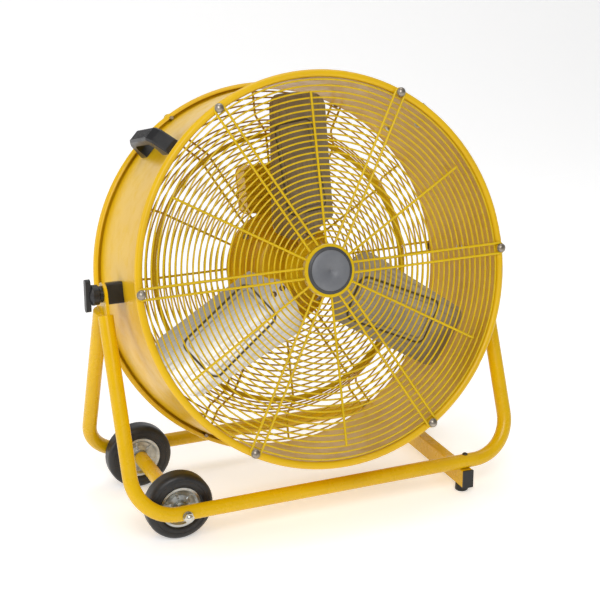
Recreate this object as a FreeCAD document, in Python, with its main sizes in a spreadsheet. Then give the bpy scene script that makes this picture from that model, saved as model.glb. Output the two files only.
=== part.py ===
import FreeCAD, Part
import math
import os
import Sketcher
from FreeCAD import Placement, Rotation, Vector

# Tilting drum fan on a two-wheeled tube stand, in millimetres.
# World frame: X along the tilt axis, -Y out of the front of the drum, +Z up, floor at Z = 0.
# Drum frame: the same axes, leaned back by the tilt angle about the pivot axis; its Y is the fan axis.

doc = FreeCAD.newDocument("DrumFan")

# ---------------------------------------------------------------- driving dimensions
DIMENSIONS = {
    "pivotHeight": 400, "tiltAngle": 15,
    # drum shell with a rolled bead at each end
    "drumRadius": 314, "drumDepth": 256, "sheetThick": 1.6, "beadRadius": 6.5, "boltCircle": 318.9,
    # wire guards
    "ringWire": 1.5, "spokeWire": 2, "ringPitch": 9.8, "guardOuter": 309, "guardInner": 55,
    "hubRing": 44, "hairpinHalf": 8.5, "wireGap": 0.03, "badgeRadius": 38.5,
    "rearFlat": 268, "rearDisc": 236, "rearStep": 43, "hoopWire": 4, "hoopRadius": 231,
    # motor
    "motorRadius": 70, "motorFront": 15, "motorRear": 115, "mountPlateRadius": 100,
    "mountBoltCircle": 86, "shaftRadius": 7, "runningGap": 0.05, "rotorRadius": 38,
    # fan
    "bladeTip": 295, "bladeRoot": 50, "bladeChord": 126, "bladePitch": 15, "bladeThick": 2,
    "bladeCamber": 260, "fanPlane": -40, "fanPhase": 88, "hubRadius": 44,
    # distance of the blade's two long edges from its centre line, at the root and at the tip
    "leadRoot": 75, "leadTip": 62, "trailRoot": 56, "trailTip": 55, "tipCorner": 24,
    # control box
    "boxWidth": 92, "boxHeight": 84, "boxCentre": 140, "boxFront": 92, "boxRear": 132, "boxWall": 2,
    # carry handles
    "handleAngle": 45, "handleSpan": 57, "handleRise": 40, "handleWidth": 27,
    # stand
    "tubeRadius": 12.5, "tubeWall": 1.5, "standHalf": 345, "standDepth": 144, "bendRadius": 72,
    "tubeHeight": 57.5, "armLength": 335.5, "plateThick": 5, "plateInner": 341, "plateCrown": 19, "studRadius": 5,
    # wheels
    "wheelRadius": 57.5, "wheelWidth": 34, "wheelX": 262, "wheelY": 107.5, "axleRadius": 5, "rimRadius": 35,
    # cross member and feet
    "memberX": 254, "memberWidth": 20, "memberBottom": 12, "footY": 136, "footRadius": 11.5, "footStem": 4,
    # fasteners
    "boltRadius": 3, "headRadius": 6.6, "rivetRadius": 3.2, "blockScrew": 9.5,
    # fixed stations along the fan axis
    "flangeFront": 78, "flangeRear": 82, "plateBack": 85, "flangeRadius": 94, "bearingRadius": 16,
    "statorBore": 40, "bracketFront": 89.3, "bracketThick": 2.5, "lidThick": 2.5, "knobHeight": 158,
    "glandX": 22, "glandDrop": 24, "knobBack": 365, "armWidth": 26, "panelLength": 148, "panelWidth": 76,
}

sheet = doc.addObject("Spreadsheet::Sheet", "Params")
for row, (alias, amount) in enumerate(DIMENSIONS.items(), start=1):
    sheet.set(f"A{row}", alias)
    sheet.set(f"B{row}", str(amount))
    sheet.setAlias(f"B{row}", alias)
doc.recompute()


# ---------------------------------------------------------------- helpers
def spell(text):
    """Write a formula in the document's terms: each word becomes a cell of the sheet."""
    out, word = "", ""
    for char in str(text) + " ":
        if char.isalnum() and (word or char.isalpha()):
            word += char
            continue
        out += "Params." + word if word in DIMENSIONS else word
        word = ""
        out += char
    return out.strip()


def value(text):
    """The number a formula stands for now."""
    result = sheet.evalExpression(spell(text).replace("Params.", ""))
    return float(getattr(result, "Value", result))


def bind(thing, **formulas):
    """Tie properties of an object to formulas of the sheet."""
    for name, formula in formulas.items():
        thing.setExpression(name, spell(formula))


def is_zero(number):
    return abs(number) < 1e-9


def origin_plane(body, role):
    return next(item for item in body.Origin.OriginFeatures if item.Role == role)


def new_body(label):
    body = doc.addObject("PartDesign::Body", label)
    body.Label = label
    return body


def new_sketch(body, role, offset=None):
    """A sketch on one of the body's origin planes, moved along its normal by a formula."""
    sketch = body.newObject("Sketcher::SketchObject", body.Label + "_sketch")
    sketch.AttachmentSupport = (origin_plane(body, role), [""])
    sketch.MapMode = "FlatFace"
    if offset is not None:
        sketch.setExpression(".AttachmentOffset.Base.z", spell(offset))
    return sketch


def pin_point(sketch, geo, pos, x_formula, y_formula):
    """Fix a sketch point to two formulas."""
    for kind, formula, axis in (("DistanceX", x_formula, -2), ("DistanceY", y_formula, -1)):
        number = value(formula)
        if is_zero(number):
            sketch.addConstraint(Sketcher.Constraint("PointOnObject", geo, pos, axis))
            continue
        index = sketch.addConstraint(Sketcher.Constraint(kind, -1, 1, geo, pos, number))
        sketch.setExpression(f"Constraints[{index}]", spell(formula))


def arc_between(start, end, radius, turn):
    """The arc of the given radius from start to end; turn +1 is counterclockwise."""
    chord = end - start
    half = chord.Length / 2
    rise = math.sqrt(max(radius ** 2 - half ** 2, 0))
    side = Vector(-chord.y, chord.x, 0).normalize() * rise * turn
    centre = (start + end) * 0.5 + side
    middle = (start + end) * 0.5 - Vector(-chord.y, chord.x, 0).normalize() * (radius - rise) * turn
    return Part.Arc(start, middle, end), centre


def outline(sketch, points, closed=True):
    """Draw lines and arcs through points; an entry is (x, y) or (x, y, radius, turn) for the run to it."""
    spots = [Vector(value(item[0]), value(item[1]), 0) for item in points]
    count = len(points)
    runs = count if closed else count - 1
    first = sketch.GeometryCount
    for index in range(runs):
        target = (index + 1) % count
        entry = points[target]
        if len(entry) == 4:
            curve, _ = arc_between(spots[index], spots[target], value(entry[2]), entry[3])
            sketch.addGeometry(curve)
        else:
            sketch.addGeometry(Part.LineSegment(spots[index], spots[target]))
    ends = []
    for index in range(runs):
        turn = points[(index + 1) % count][3] if len(points[(index + 1) % count]) == 4 else 1
        ends.append((1, 2) if turn > 0 else (2, 1))
    for index in range(runs):
        pin_point(sketch, first + index, ends[index][0], points[index][0], points[index][1])
        if index + 1 < runs or closed:
            after = (index + 1) % runs
            link = (first + index, ends[index][1], first + after, ends[after][0])
            sketch.addConstraint(Sketcher.Constraint("Coincident", *link))
        else:
            pin_point(sketch, first + index, ends[index][1], points[-1][0], points[-1][1])
    for index in range(runs):
        entry = points[(index + 1) % count]
        if len(entry) == 4:
            spot = sketch.addConstraint(Sketcher.Constraint("Radius", first + index, value(entry[2])))
            sketch.setExpression(f"Constraints[{spot}]", spell(entry[2]))


def ring(sketch, x_formula, y_formula, radius):
    """A circle in a sketch."""
    centre = Vector(value(x_formula), value(y_formula), 0)
    geo = sketch.addGeometry(Part.Circle(centre, Vector(0, 0, 1), value(radius)))
    pin_point(sketch, geo, 3, x_formula, y_formula)
    spot = sketch.addConstraint(Sketcher.Constraint("Radius", geo, value(radius)))
    sketch.setExpression(f"Constraints[{spot}]", spell(radius))


def rectangle(x_low, y_low, x_high, y_high):
    return [(x_low, y_low), (x_high, y_low), (x_high, y_high), (x_low, y_high)]


def feature(body, kind, sketch, **formulas):
    item = body.newObject("PartDesign::" + kind, body.Label + "_" + kind.lower())
    item.Profile = sketch
    for name, formula in formulas.items():
        bind(item, **{name: formula})
    sketch.Visibility = False
    return item


def add_pad(body, sketch, length, both_ways=False, back=False):
    pad = feature(body, "Pad", sketch, Length=length)
    pad.Midplane = both_ways
    pad.Reversed = back
    doc.recompute()
    return pad


def add_pocket(body, sketch, length, both_ways=False, back=False):
    """Cut a sketch through the body and make sure that it cuts."""
    before = body.Shape.Volume
    pocket = feature(body, "Pocket", sketch, Length=length)
    pocket.Midplane = both_ways
    pocket.Reversed = back
    doc.recompute()
    if body.Shape.Volume > before - 0.01:
        raise ValueError(body.Label + ": a pocket cut nothing")
    return pocket


def add_turn(body, profile, kind="Revolution", role="XY_Plane"):
    """Turn a profile about the body's Y axis; profile points are (radius, station along Y)."""
    sketch = new_sketch(body, role)
    outline(sketch, profile)
    item = feature(body, kind, sketch)
    item.ReferenceAxis = (sketch, ["V_Axis"])
    item.Angle = 360
    doc.recompute()
    return item


def add_fillet(body, base, edges, radius, kind="Fillet"):
    item = body.newObject("PartDesign::" + kind, body.Label + "_" + kind.lower())
    item.Base = (base, edges)
    bind(item, **{"Radius" if kind == "Fillet" else "Size": radius})
    doc.recompute()
    return item


def edges_where(shape, test):
    return [f"Edge{index}" for index, edge in enumerate(shape.Edges, start=1) if test(edge)]


def turned(label, profile, place=None):
    body = new_body(label)
    add_turn(body, profile)
    if place is not None:
        body.Placement = place
    return body


def polar(body, base, count, role="Y_Axis"):
    """Repeat a feature round the body's Y axis."""
    pattern = body.newObject("PartDesign::PolarPattern", body.Label + "_pattern")
    pattern.Originals = [base]
    pattern.Axis = (origin_plane(body, role), [""])
    pattern.Angle = 360
    pattern.Occurrences = count
    body.Tip = pattern
    doc.recompute()
    return pattern


def group(label, shapes, place=None):
    """A plain object holding solids made with Part's own functions."""
    item = doc.addObject("Part::Feature", label)
    item.Label = label
    item.Shape = Part.makeCompound(shapes)
    if place is not None:
        item.Placement = place
    return item


def pair(label, items):
    """Several document objects kept together as one sub-part."""
    item = doc.addObject("Part::Compound", label)
    item.Label = label
    item.Links = items
    doc.recompute()
    return item


DRUM_PLACE = Placement(Vector(0, 0, value("pivotHeight")), Rotation(Vector(1, 0, 0), -value("tiltAngle")))
UP = Vector(0, 0, 1)
BACKWARD = Vector(0, 1, 0)
SIDEWAYS = Vector(1, 0, 0)
nodes = []


def keep(item):
    """Note a finished sub-part; its label names its file."""
    nodes.append(item)
    return item


def drum_turn(degrees):
    """The drum frame turned about the fan axis, so that local X points at the given clock angle."""
    return DRUM_PLACE * Placement(Vector(), Rotation(Vector(0, 1, 0), -degrees))


# ---------------------------------------------------------------- drum shell
def drum_shell():
    """Sheet-steel wall with an outward curl at each end, drilled for the guard and handle screws."""
    body = new_body("drum_wall")
    inner = "drumRadius - sheetThick"
    end = "drumDepth / 2 - beadRadius"
    add_turn(body, rectangle(inner, f"-({end})", "drumRadius", end))
    for side in (-1, 1):
        add_turn(body, curl_profile(inner, end, side))
    tools = []
    for clock in range(0, 360, 60):
        tools.append(drill("boltCircle", clock, "boltRadius + 0.1"))
    for clock in ("handleAngle", "180 - handleAngle"):
        for side in (-1, 1):
            tools.append(radial_drill(value(clock), f"{side} * handleSpan", "boltRadius + 0.1"))
    for clock in (0, 180):
        for side in (-1, 1):
            tools.append(radial_drill(clock, f"{side} * blockScrew", "boltRadius + 0.1"))
    shell = cut("drum_shell", body, tools)
    shell.Placement = DRUM_PLACE
    return keep(shell)


def curl_profile(inner, end, side):
    """Section of the rolled bead: three quarters of a sheet-metal circle that grows out of the wall."""
    middle = f"({inner} + beadRadius)"
    bend = "(beadRadius - sheetThick)"
    return [
        (inner, f"{side} * ({end})"),
        (middle, f"{side} * drumDepth / 2", "beadRadius", -side),
        (f"{middle} + beadRadius", f"{side} * ({end})", "beadRadius", -side),
        (middle, f"{side} * ({end} - beadRadius)", "beadRadius", -side),
        (middle, f"{side} * ({end} - {bend})"),
        (f"{middle} + {bend}", f"{side} * ({end})", bend, side),
        (middle, f"{side} * (drumDepth / 2 - sheetThick)", bend, side),
        (f"{inner} + sheetThick", f"{side} * ({end})", bend, side),
    ]


def drill(circle, clock, radius):
    """A long cylinder parallel to the fan axis, on a bolt circle."""
    tool = doc.addObject("Part::Cylinder", "drill")
    bind(tool, Radius=radius, Height="drumDepth * 2")
    at = Vector(value(circle), -value("drumDepth"), 0)
    spin = Placement(Vector(), Rotation(Vector(0, 1, 0), -clock))
    tool.Placement = spin * Placement(at, Rotation(Vector(1, 0, 0), -90))
    return tool


def radial_drill(clock, station, radius):
    """A cylinder that points outward through the drum wall."""
    tool = doc.addObject("Part::Cylinder", "drill")
    bind(tool, Radius=radius, Height="drumRadius / 4")
    spin = Placement(Vector(), Rotation(Vector(0, 1, 0), 90 - clock))
    tool.Placement = spin * Placement(Vector(0, value(station), value("drumRadius") * 0.9), Rotation())
    return tool


def cut(label, base, tools):
    """Take tools away from a base as one document object."""
    tool = tools[0]
    if len(tools) > 1:
        tool = doc.addObject("Part::MultiFuse", label + "_tools")
        tool.Shapes = tools
    item = doc.addObject("Part::Cut", label)
    item.Label = label
    item.Base = base
    item.Tool = tool
    doc.recompute()
    return item


# ---------------------------------------------------------------- wire guards
def guard_rings(label, hoops):
    """Concentric twelve-sided hoops about the fan axis; each entry is (radius, station, wire radius)."""
    turns = [math.pi * k / 6 for k in range(13)]
    wires = []
    for radius, station, wire in hoops:
        corners = [Vector(radius + wire * math.cos(turn), station + wire * math.sin(turn), 0) for turn in turns]
        wires.append(Part.Face(Part.makePolygon(corners)).revolve(Vector(), BACKWARD, 360))
    return keep(group(label, wires, DRUM_PLACE))


def wire_along(points, radius, bend):
    """A round wire through points; each corner is an arc of the bend radius where there is room."""
    edges = []
    start = points[0]
    for before, corner, after in zip(points, points[1:], points[2:]):
        into = (corner - before).normalize()
        away = (after - corner).normalize()
        half_turn = into.getAngle(away) / 2
        room = 0.49 * min((corner - before).Length, (after - corner).Length)
        reach = min(bend * math.tan(half_turn), room)
        true_bend = reach / math.tan(half_turn)
        inward = (away - into).normalize()
        middle = corner + inward * (true_bend / math.cos(half_turn) - true_bend)
        edges.append(Part.LineSegment(start, corner - into * reach).toShape())
        edges.append(Part.Arc(corner - into * reach, middle, corner + away * reach).toShape())
        start = corner + away * reach
    edges.append(Part.LineSegment(start, points[-1]).toShape())
    section = Part.Wire(Part.Circle(points[0], points[1] - points[0], radius).toShape())
    return Part.Wire(edges).makePipeShell([section], True, False)


def turned_copy(shape, degrees):
    copy = shape.copy()
    copy.rotate(Vector(), Vector(0, 1, 0), -degrees)
    return copy


def spread(first, last, pitch):
    """Evenly spaced numbers from first to last, close to the pitch."""
    count = round((last - first) / pitch)
    return [first + (last - first) * k / count for k in range(count + 1)]


def front_guard():
    """Flat front grille: hoops behind, hairpins and single wires in front of them."""
    wire = value("ringWire")
    spoke = value("spokeWire")
    gap = value("wireGap")
    spoke_station = -value("drumDepth") / 2 - spoke - gap
    ring_station = spoke_station + spoke + wire + gap
    radii = spread(value("guardInner"), value("guardOuter"), value("ringPitch"))
    guard_rings("front_guard_rings", [(radius, ring_station, wire) for radius in radii])

    half = value("hairpinHalf")
    start = value("hubRing") + gap
    tip = value("boltCircle") + half - 3
    pin_line = [Vector(start, spoke_station, -half), Vector(tip, spoke_station, -half),
                Vector(tip, spoke_station, half), Vector(start, spoke_station, half)]
    hairpin = wire_along(pin_line, spoke, half)
    single = Part.makeCylinder(spoke, radii[-3] - start, Vector(start, spoke_station, 0), SIDEWAYS)
    wires = []
    for clock in range(0, 360, 60):
        wires.append(turned_copy(hairpin, clock))
        wires.append(turned_copy(single, clock + 30))
    keep(group("front_guard_spokes", wires, DRUM_PLACE))

    face = "-drumDepth / 2"
    profile = [
        ("badgeRadius - 8", f"{face} + 4"), ("hubRing", f"{face} + 4"), ("hubRing", f"{face} - 6"),
        ("hubRing - 1.5", f"{face} - 7.5"), ("badgeRadius + 0.4", f"{face} - 7.5"),
        ("badgeRadius + 0.4", f"{face} + 2"), ("badgeRadius - 8", f"{face} + 2"),
    ]
    keep(turned("front_guard_hub", profile, DRUM_PLACE))


def badge():
    """Plain round plate pressed into the cup in the middle of the front grille."""
    face = "-drumDepth / 2"
    profile = [
        ("0", f"{face} + 1.9"), ("badgeRadius", f"{face} + 1.9"), ("badgeRadius", f"{face} - 7.5"),
        ("badgeRadius - 4", f"{face} - 9.5"), ("0", f"{face} - 9.5"),
    ]
    keep(turned("badge", profile, DRUM_PLACE))


def rear_guard():
    """Rear grille: a flat rim, a step in towards the fan, and a flat disc that carries the motor."""
    wire = value("ringWire")
    spoke = value("spokeWire")
    gap = value("wireGap")
    face = value("drumDepth") / 2
    flat = value("rearFlat")
    disc = value("rearDisc")
    line = face + spoke + gap
    deep = line - value("rearStep")
    shift = wire + spoke + gap
    half = value("hairpinHalf")
    tip = value("boltCircle") + half - 3
    inner = value("mountPlateRadius") - 8

    slope = Vector(disc - flat, deep - line, 0)
    beside = Vector(slope.y, -slope.x, 0).normalize() * (shift + 0.3)
    rings = [(radius, line - shift, wire) for radius in spread(flat + 9, value("guardOuter"), 10)]
    for k in range(1, 5):
        rings.append((flat + slope.x * k / 5 + beside.x, line + slope.y * k / 5 + beside.y, wire))
    for radius in spread(value("mountPlateRadius") + 10, disc - 14, value("ringPitch")):
        rings.append((radius, deep - shift, wire))
    heavy = value("hoopWire")
    rings.append((value("hoopRadius"), deep - spoke - heavy - gap, heavy))
    guard_rings("rear_guard_rings", rings)

    run = [Vector(inner, deep, 0), Vector(disc, deep, 0), Vector(flat, line, 0), Vector(tip, line, 0)]
    low = [point - Vector(0, 0, half) for point in run]
    high = [point + Vector(0, 0, half) for point in reversed(run)]
    hairpin = wire_along(low + high, spoke, half)
    single = wire_along(run[:3] + [Vector(value("guardOuter"), line, 0)], spoke, half)
    wires = []
    for clock in range(0, 360, 60):
        wires.append(turned_copy(hairpin, clock))
        wires.append(turned_copy(single, clock + 30))
    keep(group("rear_guard_spokes", wires, DRUM_PLACE))


def rim_screws(label, turn):
    """Dome-headed screws through the bead, with the washer that clamps the hairpin loops."""
    seat = value("drumDepth") / 2 + 2 * value("spokeWire") + 3 * value("wireGap")
    outward = Vector(0, turn, 0)
    spot = Vector(value("boltCircle"), turn * seat, 0)
    head = value("headRadius")
    washer = Part.makeCylinder(head + 1, 1.2, spot, outward)
    ball = Part.makeSphere(head + 2, spot - outward * (head - 3.5))
    dome = ball.common(Part.makeCylinder(head, 9, spot + outward * 1.2, outward))
    shank = Part.makeCylinder(value("boltRadius"), seat - 110, spot - outward * (seat - 110), outward)
    screw = washer.fuse([dome, shank]).removeSplitter()
    screws = [turned_copy(screw, clock) for clock in range(0, 360, 60)]
    keep(group(label, screws, DRUM_PLACE))


# ---------------------------------------------------------------- motor
def motor_shell():
    """Round motor: rolled housing between a front bell and a flanged rear bell."""
    front = "motorFront"
    rear = "motorRear"
    wall = "motorRadius - 4"
    keep(turned("motor_housing", rectangle(wall, f"{front} + 18", "motorRadius", "flangeFront"), DRUM_PLACE))

    bell = new_body("motor_front_bell")
    add_turn(bell, [
        ("9", f"{front} - 4"), ("21", f"{front} - 4"), ("24", f"{front} + 1"), ("58", f"{front} + 3"),
        ("motorRadius", f"{front} + 12", "16", 1), ("motorRadius", f"{front} + 18"),
        (wall, f"{front} + 18"), (wall, f"{front} + 13.5"), ("56", f"{front} + 6"), ("20", f"{front} + 5"),
        ("20", f"{front} + 12.5"), ("bearingRadius", f"{front} + 12.5"), ("bearingRadius", f"{front} + 2"),
        ("9", f"{front} + 2"),
    ])
    bell.Placement = DRUM_PLACE
    keep(bell)

    bell = new_body("motor_rear_bell")
    add_turn(bell, [
        ("0", rear), ("22", rear), ("58", f"{rear} - 2"), ("motorRadius", f"{rear} - 11", "16", -1),
        ("motorRadius", "flangeRear"), ("flangeRadius", "flangeRear"), ("flangeRadius", "flangeFront"),
        (wall, "flangeFront"), (wall, f"{rear} - 13"), ("56", f"{rear} - 6"), ("20", f"{rear} - 5"),
        ("20", f"{rear} - 17"), ("bearingRadius", f"{rear} - 17"), ("bearingRadius", f"{rear} - 5.5"),
        ("0", f"{rear} - 5.5"),
    ])
    sketch = new_sketch(bell, "XZ_Plane")
    ring(sketch, "mountBoltCircle * cos(45)", "mountBoltCircle * sin(45)", "boltRadius + 0.1")
    polar(bell, add_pocket(bell, sketch, "drumDepth * 2", both_ways=True), 4)
    bell.Placement = DRUM_PLACE
    keep(bell)


def motor_inside():
    """Laminated stator, end windings, rotor pack, and a ball bearing in each bell."""
    low = "motorFront + 26"
    high = "flangeFront - 7"
    keep(turned("stator_core", rectangle("statorBore", low, "motorRadius - 4.1", high), DRUM_PLACE))
    coils = []
    for station, depth in ((value(low) - 7, 6.9), (value(high) + 0.1, 6.8)):
        outer = Part.makeCylinder(value("motorRadius") - 10, depth, Vector(0, station, 0), BACKWARD)
        inner = Part.makeCylinder(value("statorBore") + 4, depth, Vector(0, station, 0), BACKWARD)
        coils.append(outer.cut(inner))
    keep(group("stator_windings", coils, DRUM_PLACE))
    bearings = []
    for station in (value("motorFront") + 2.1, value("motorRear") - 16):
        outer = Part.makeCylinder(value("bearingRadius") - 0.02, 10, Vector(0, station, 0), BACKWARD)
        bore = value("shaftRadius") + value("runningGap")
        bearings.append(outer.cut(Part.makeCylinder(bore, 10, Vector(0, station, 0), BACKWARD)))
    keep(group("motor_bearings", bearings, DRUM_PLACE))
    keep(turned("rotor_core", rectangle("shaftRadius", low, "statorBore - 0.6", high), DRUM_PLACE))
    shaft = [("0", "fanPlane - 16"), ("shaftRadius - 1", "fanPlane - 16"), ("shaftRadius", "fanPlane - 15"),
             ("shaftRadius", "motorRear - 6"), ("0", "motorRear - 6")]
    keep(turned("motor_shaft", shaft, DRUM_PLACE))


def motor_plate():
    """Annular steel plate welded to the inner ends of the rear wires; the motor flange bolts to it."""
    body = new_body("motor_plate")
    add_turn(body, rectangle("motorRadius + 1", "flangeRear", "mountPlateRadius", "plateBack"))
    sketch = new_sketch(body, "XZ_Plane")
    ring(sketch, "mountBoltCircle * cos(45)", "mountBoltCircle * sin(45)", "boltRadius + 0.1")
    polar(body, add_pocket(body, sketch, "drumDepth * 2", both_ways=True), 4)
    body.Placement = DRUM_PLACE
    keep(body)


def hexagon(across, height, centre, direction):
    """A six-sided prism, measured across its flats."""
    corner = across / math.sqrt(3)
    base = Part.makePolygon([Vector(corner * math.cos(k * math.pi / 3), corner * math.sin(k * math.pi / 3), 0)
                             for k in range(7)])
    prism = Part.Face(base).extrude(UP * height)
    prism.Placement = Placement(centre, Rotation(UP, direction))
    return prism


def motor_bolts():
    """Four hexagon bolts; the upper two are longer and also hold the control bracket."""
    bolts = []
    seat = value("flangeFront")
    radius = value("boltRadius")
    for clock in (45, 135, 225, 315):
        nut_seat = value("bracketFront") + value("bracketThick") if clock < 180 else value("plateBack")
        spot = Vector(value("mountBoltCircle"), 0, 0)
        head = hexagon(10, 4, spot + BACKWARD * (seat - 4.05), BACKWARD)
        shank = Part.makeCylinder(radius, nut_seat + 7 - seat, spot + BACKWARD * (seat - 0.05), BACKWARD)
        nut = hexagon(10, 5, spot + BACKWARD * (nut_seat + 0.05), BACKWARD)
        parts = [shank, nut]
        if clock < 180:
            sleeve = Part.makeCylinder(5.5, value("bracketFront") - value("plateBack") - 0.1,
                                       spot + BACKWARD * (value("plateBack") + 0.05), BACKWARD)
            parts.append(sleeve)
        bolts.append(turned_copy(head.fuse(parts).removeSplitter(), clock))
    keep(group("motor_bolts", bolts, DRUM_PLACE))


# ---------------------------------------------------------------- fan
def blade_place(clock):
    return drum_turn(clock) * Placement(Vector(0, value("fanPlane"), 0),
                                        Rotation(SIDEWAYS, value("bladePitch")))


def camber_band(name, outer, inner):
    """A long curved sheet between two radii, bulging to the rear."""
    body = new_body(name)
    sketch = new_sketch(body, "YZ_Plane")
    reach = "bladeChord * 0.75"

    def depth(radius):
        return f"sqrt(({radius}) ^ 2 - ({reach}) ^ 2) - bladeCamber"

    outline(sketch, [(depth(outer), f"-({reach})"), (depth(outer), reach, outer, 1),
                     (depth(inner), reach), (depth(inner), f"-({reach})", inner, -1)])
    add_pad(body, sketch, "bladeTip + 20")
    return body


def blade_plan(name):
    """Paddle outline: a wide root that narrows towards the blade circle, with rounded corners."""
    body = new_body(name)
    sketch = new_sketch(body, "XZ_Plane")
    start = "bladeRoot + 36"
    turn_in = "bladeTip - tipCorner - 4"
    lead_end = "(leadTip - tipCorner + 4)"
    trail_end = "(trailTip - tipCorner + 4)"
    outline(sketch, [
        (start, "-trailRoot"), (turn_in, "-trailTip"),
        (f"sqrt(bladeTip ^ 2 - {trail_end} ^ 2)", f"-{trail_end}", "tipCorner", 1),
        (f"sqrt(bladeTip ^ 2 - {lead_end} ^ 2)", lead_end, "bladeTip", 1),
        (turn_in, "leadTip", "tipCorner", 1), (start, "leadRoot"),
        ("bladeRoot + 10", "leadRoot - 24", "25", 1), ("bladeRoot", "12", "70", 1), ("bladeRoot", "-12"),
        ("bladeRoot + 14", "31 - trailRoot", "40", 1),
    ])
    add_pad(body, sketch, "bladeChord", both_ways=True)
    return body


def bead_plan(name):
    """Rounded rectangular loop, the outline of the pressed panel of a blade."""
    body = new_body(name)
    sketch = new_sketch(body, "XZ_Plane")
    for inset in ("0", "5"):
        rounded_rectangle(sketch, f"panelLength / 2 - {inset}", f"panelWidth / 2 - {inset}", f"12 - {inset}")
    add_pad(body, sketch, "bladeChord", both_ways=True)
    body.Placement = Placement(Vector(value("bladeRoot") + 121, 0, 3), Rotation(Vector(0, 1, 0), -7))
    return body


def rounded_rectangle(sketch, half_long, half_wide, corner, x_mid="0", y_mid="0"):
    """A closed outline with four round corners about a middle point."""
    def spot(x_sign, y_sign, x_cut, y_cut):
        x_part = f"{x_mid} + {x_sign} * ({half_long} - {x_cut} * ({corner}))"
        y_part = f"{y_mid} + {y_sign} * ({half_wide} - {y_cut} * ({corner}))"
        return x_part, y_part

    points = []
    for x_sign, y_sign in ((1, -1), (1, 1), (-1, 1), (-1, -1)):
        turning_up = x_sign * y_sign < 0
        enter = spot(x_sign, y_sign, 1 if turning_up else 0, 0 if turning_up else 1)
        leave = spot(x_sign, y_sign, 0 if turning_up else 1, 1 if turning_up else 0)
        points.append(enter)
        points.append((leave[0], leave[1], corner, 1))
    outline(sketch, points)


def common(name, first, second):
    item = doc.addObject("Part::MultiCommon", name)
    item.Shapes = [first, second]
    return item


def fuse(name, parts):
    item = doc.addObject("Part::MultiFuse", name)
    item.Label = name
    item.Shapes = parts
    item.Refine = True
    doc.recompute()
    return item


RIVET_STEPS = (6, 24)


def blade(number):
    """Cambered aluminium paddle with a raised panel outline and a row of rivet holes at the root."""
    name = f"fan_blade_{number}"
    sheet_part = common(name + "_sheet", camber_band(name + "_band", "bladeCamber", "bladeCamber - bladeThick"),
                        blade_plan(name + "_plan"))
    raised = camber_band(name + "_raised", "bladeCamber - 1", "bladeCamber - bladeThick - 1.8")
    bead = common(name + "_bead", raised, bead_plan(name + "_loop"))
    whole = fuse(name + "_whole", [sheet_part, bead])
    holes = []
    for step in RIVET_STEPS:
        tool = doc.addObject("Part::Cylinder", name + "_hole")
        bind(tool, Radius="rivetRadius", Height="40")
        tool.Placement = Placement(Vector(value("bladeRoot") + step, -20, 0), Rotation(SIDEWAYS, -90))
        holes.append(tool)
    item = cut(name, whole, holes)
    item.Placement = blade_place(value("fanPhase") + 120 * (number - 1))
    keep(item)


def fan_hub():
    """Collar on the shaft with a front disc and three flat arms set at the blade pitch."""
    collar = turned("hub_collar", [
        ("shaftRadius", "fanPlane - 12"), ("20", "fanPlane - 12"), ("22", "fanPlane - 10"),
        ("hubRadius", "fanPlane - 10"), ("hubRadius", "fanPlane - 6"), ("22", "fanPlane - 6"),
        ("22", "fanPlane + 26"), ("20", "fanPlane + 28"), ("shaftRadius", "fanPlane + 28")])
    tools = [collar]
    for k in range(3):
        arm = doc.addObject("Part::Box", "hub_arm")
        bind(arm, Length="bladeRoot + 24", Width="4", Height="armWidth")
        spin = Placement(Vector(), Rotation(Vector(0, 1, 0), -(value("fanPhase") + 120 * k)))
        lean = Placement(Vector(0, value("fanPlane"), 0), Rotation(SIDEWAYS, value("bladePitch")))
        arm.Placement = spin * lean * Placement(Vector(14, 0.05, -value("armWidth") / 2), Rotation())
        tools.append(arm)
    whole = fuse("hub_whole", tools)
    holes = []
    for k in range(3):
        for step in RIVET_STEPS:
            tool = doc.addObject("Part::Cylinder", "hub_hole")
            bind(tool, Radius="rivetRadius", Height="24")
            spin = Placement(Vector(), Rotation(Vector(0, 1, 0), -(value("fanPhase") + 120 * k)))
            lean = Placement(Vector(0, value("fanPlane"), 0), Rotation(SIDEWAYS, value("bladePitch")))
            spot = Placement(Vector(value("bladeRoot") + step, -12, 0), Rotation(SIDEWAYS, -90))
            tool.Placement = spin * lean * spot
            holes.append(tool)
    bore = doc.addObject("Part::Cylinder", "hub_bore")
    bind(bore, Radius="shaftRadius", Height="60")
    bore.Placement = Placement(Vector(0, value("fanPlane") - 20, 0), Rotation(SIDEWAYS, -90))
    screw_hole = doc.addObject("Part::Cylinder", "hub_screw_hole")
    bind(screw_hole, Radius="boltRadius", Height="40")
    screw_hole.Placement = Placement(Vector(0, value("fanPlane") + 18, 0), Rotation())
    item = cut("fan_hub", whole, holes + [bore, screw_hole])
    item.Placement = DRUM_PLACE
    keep(item)


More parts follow.
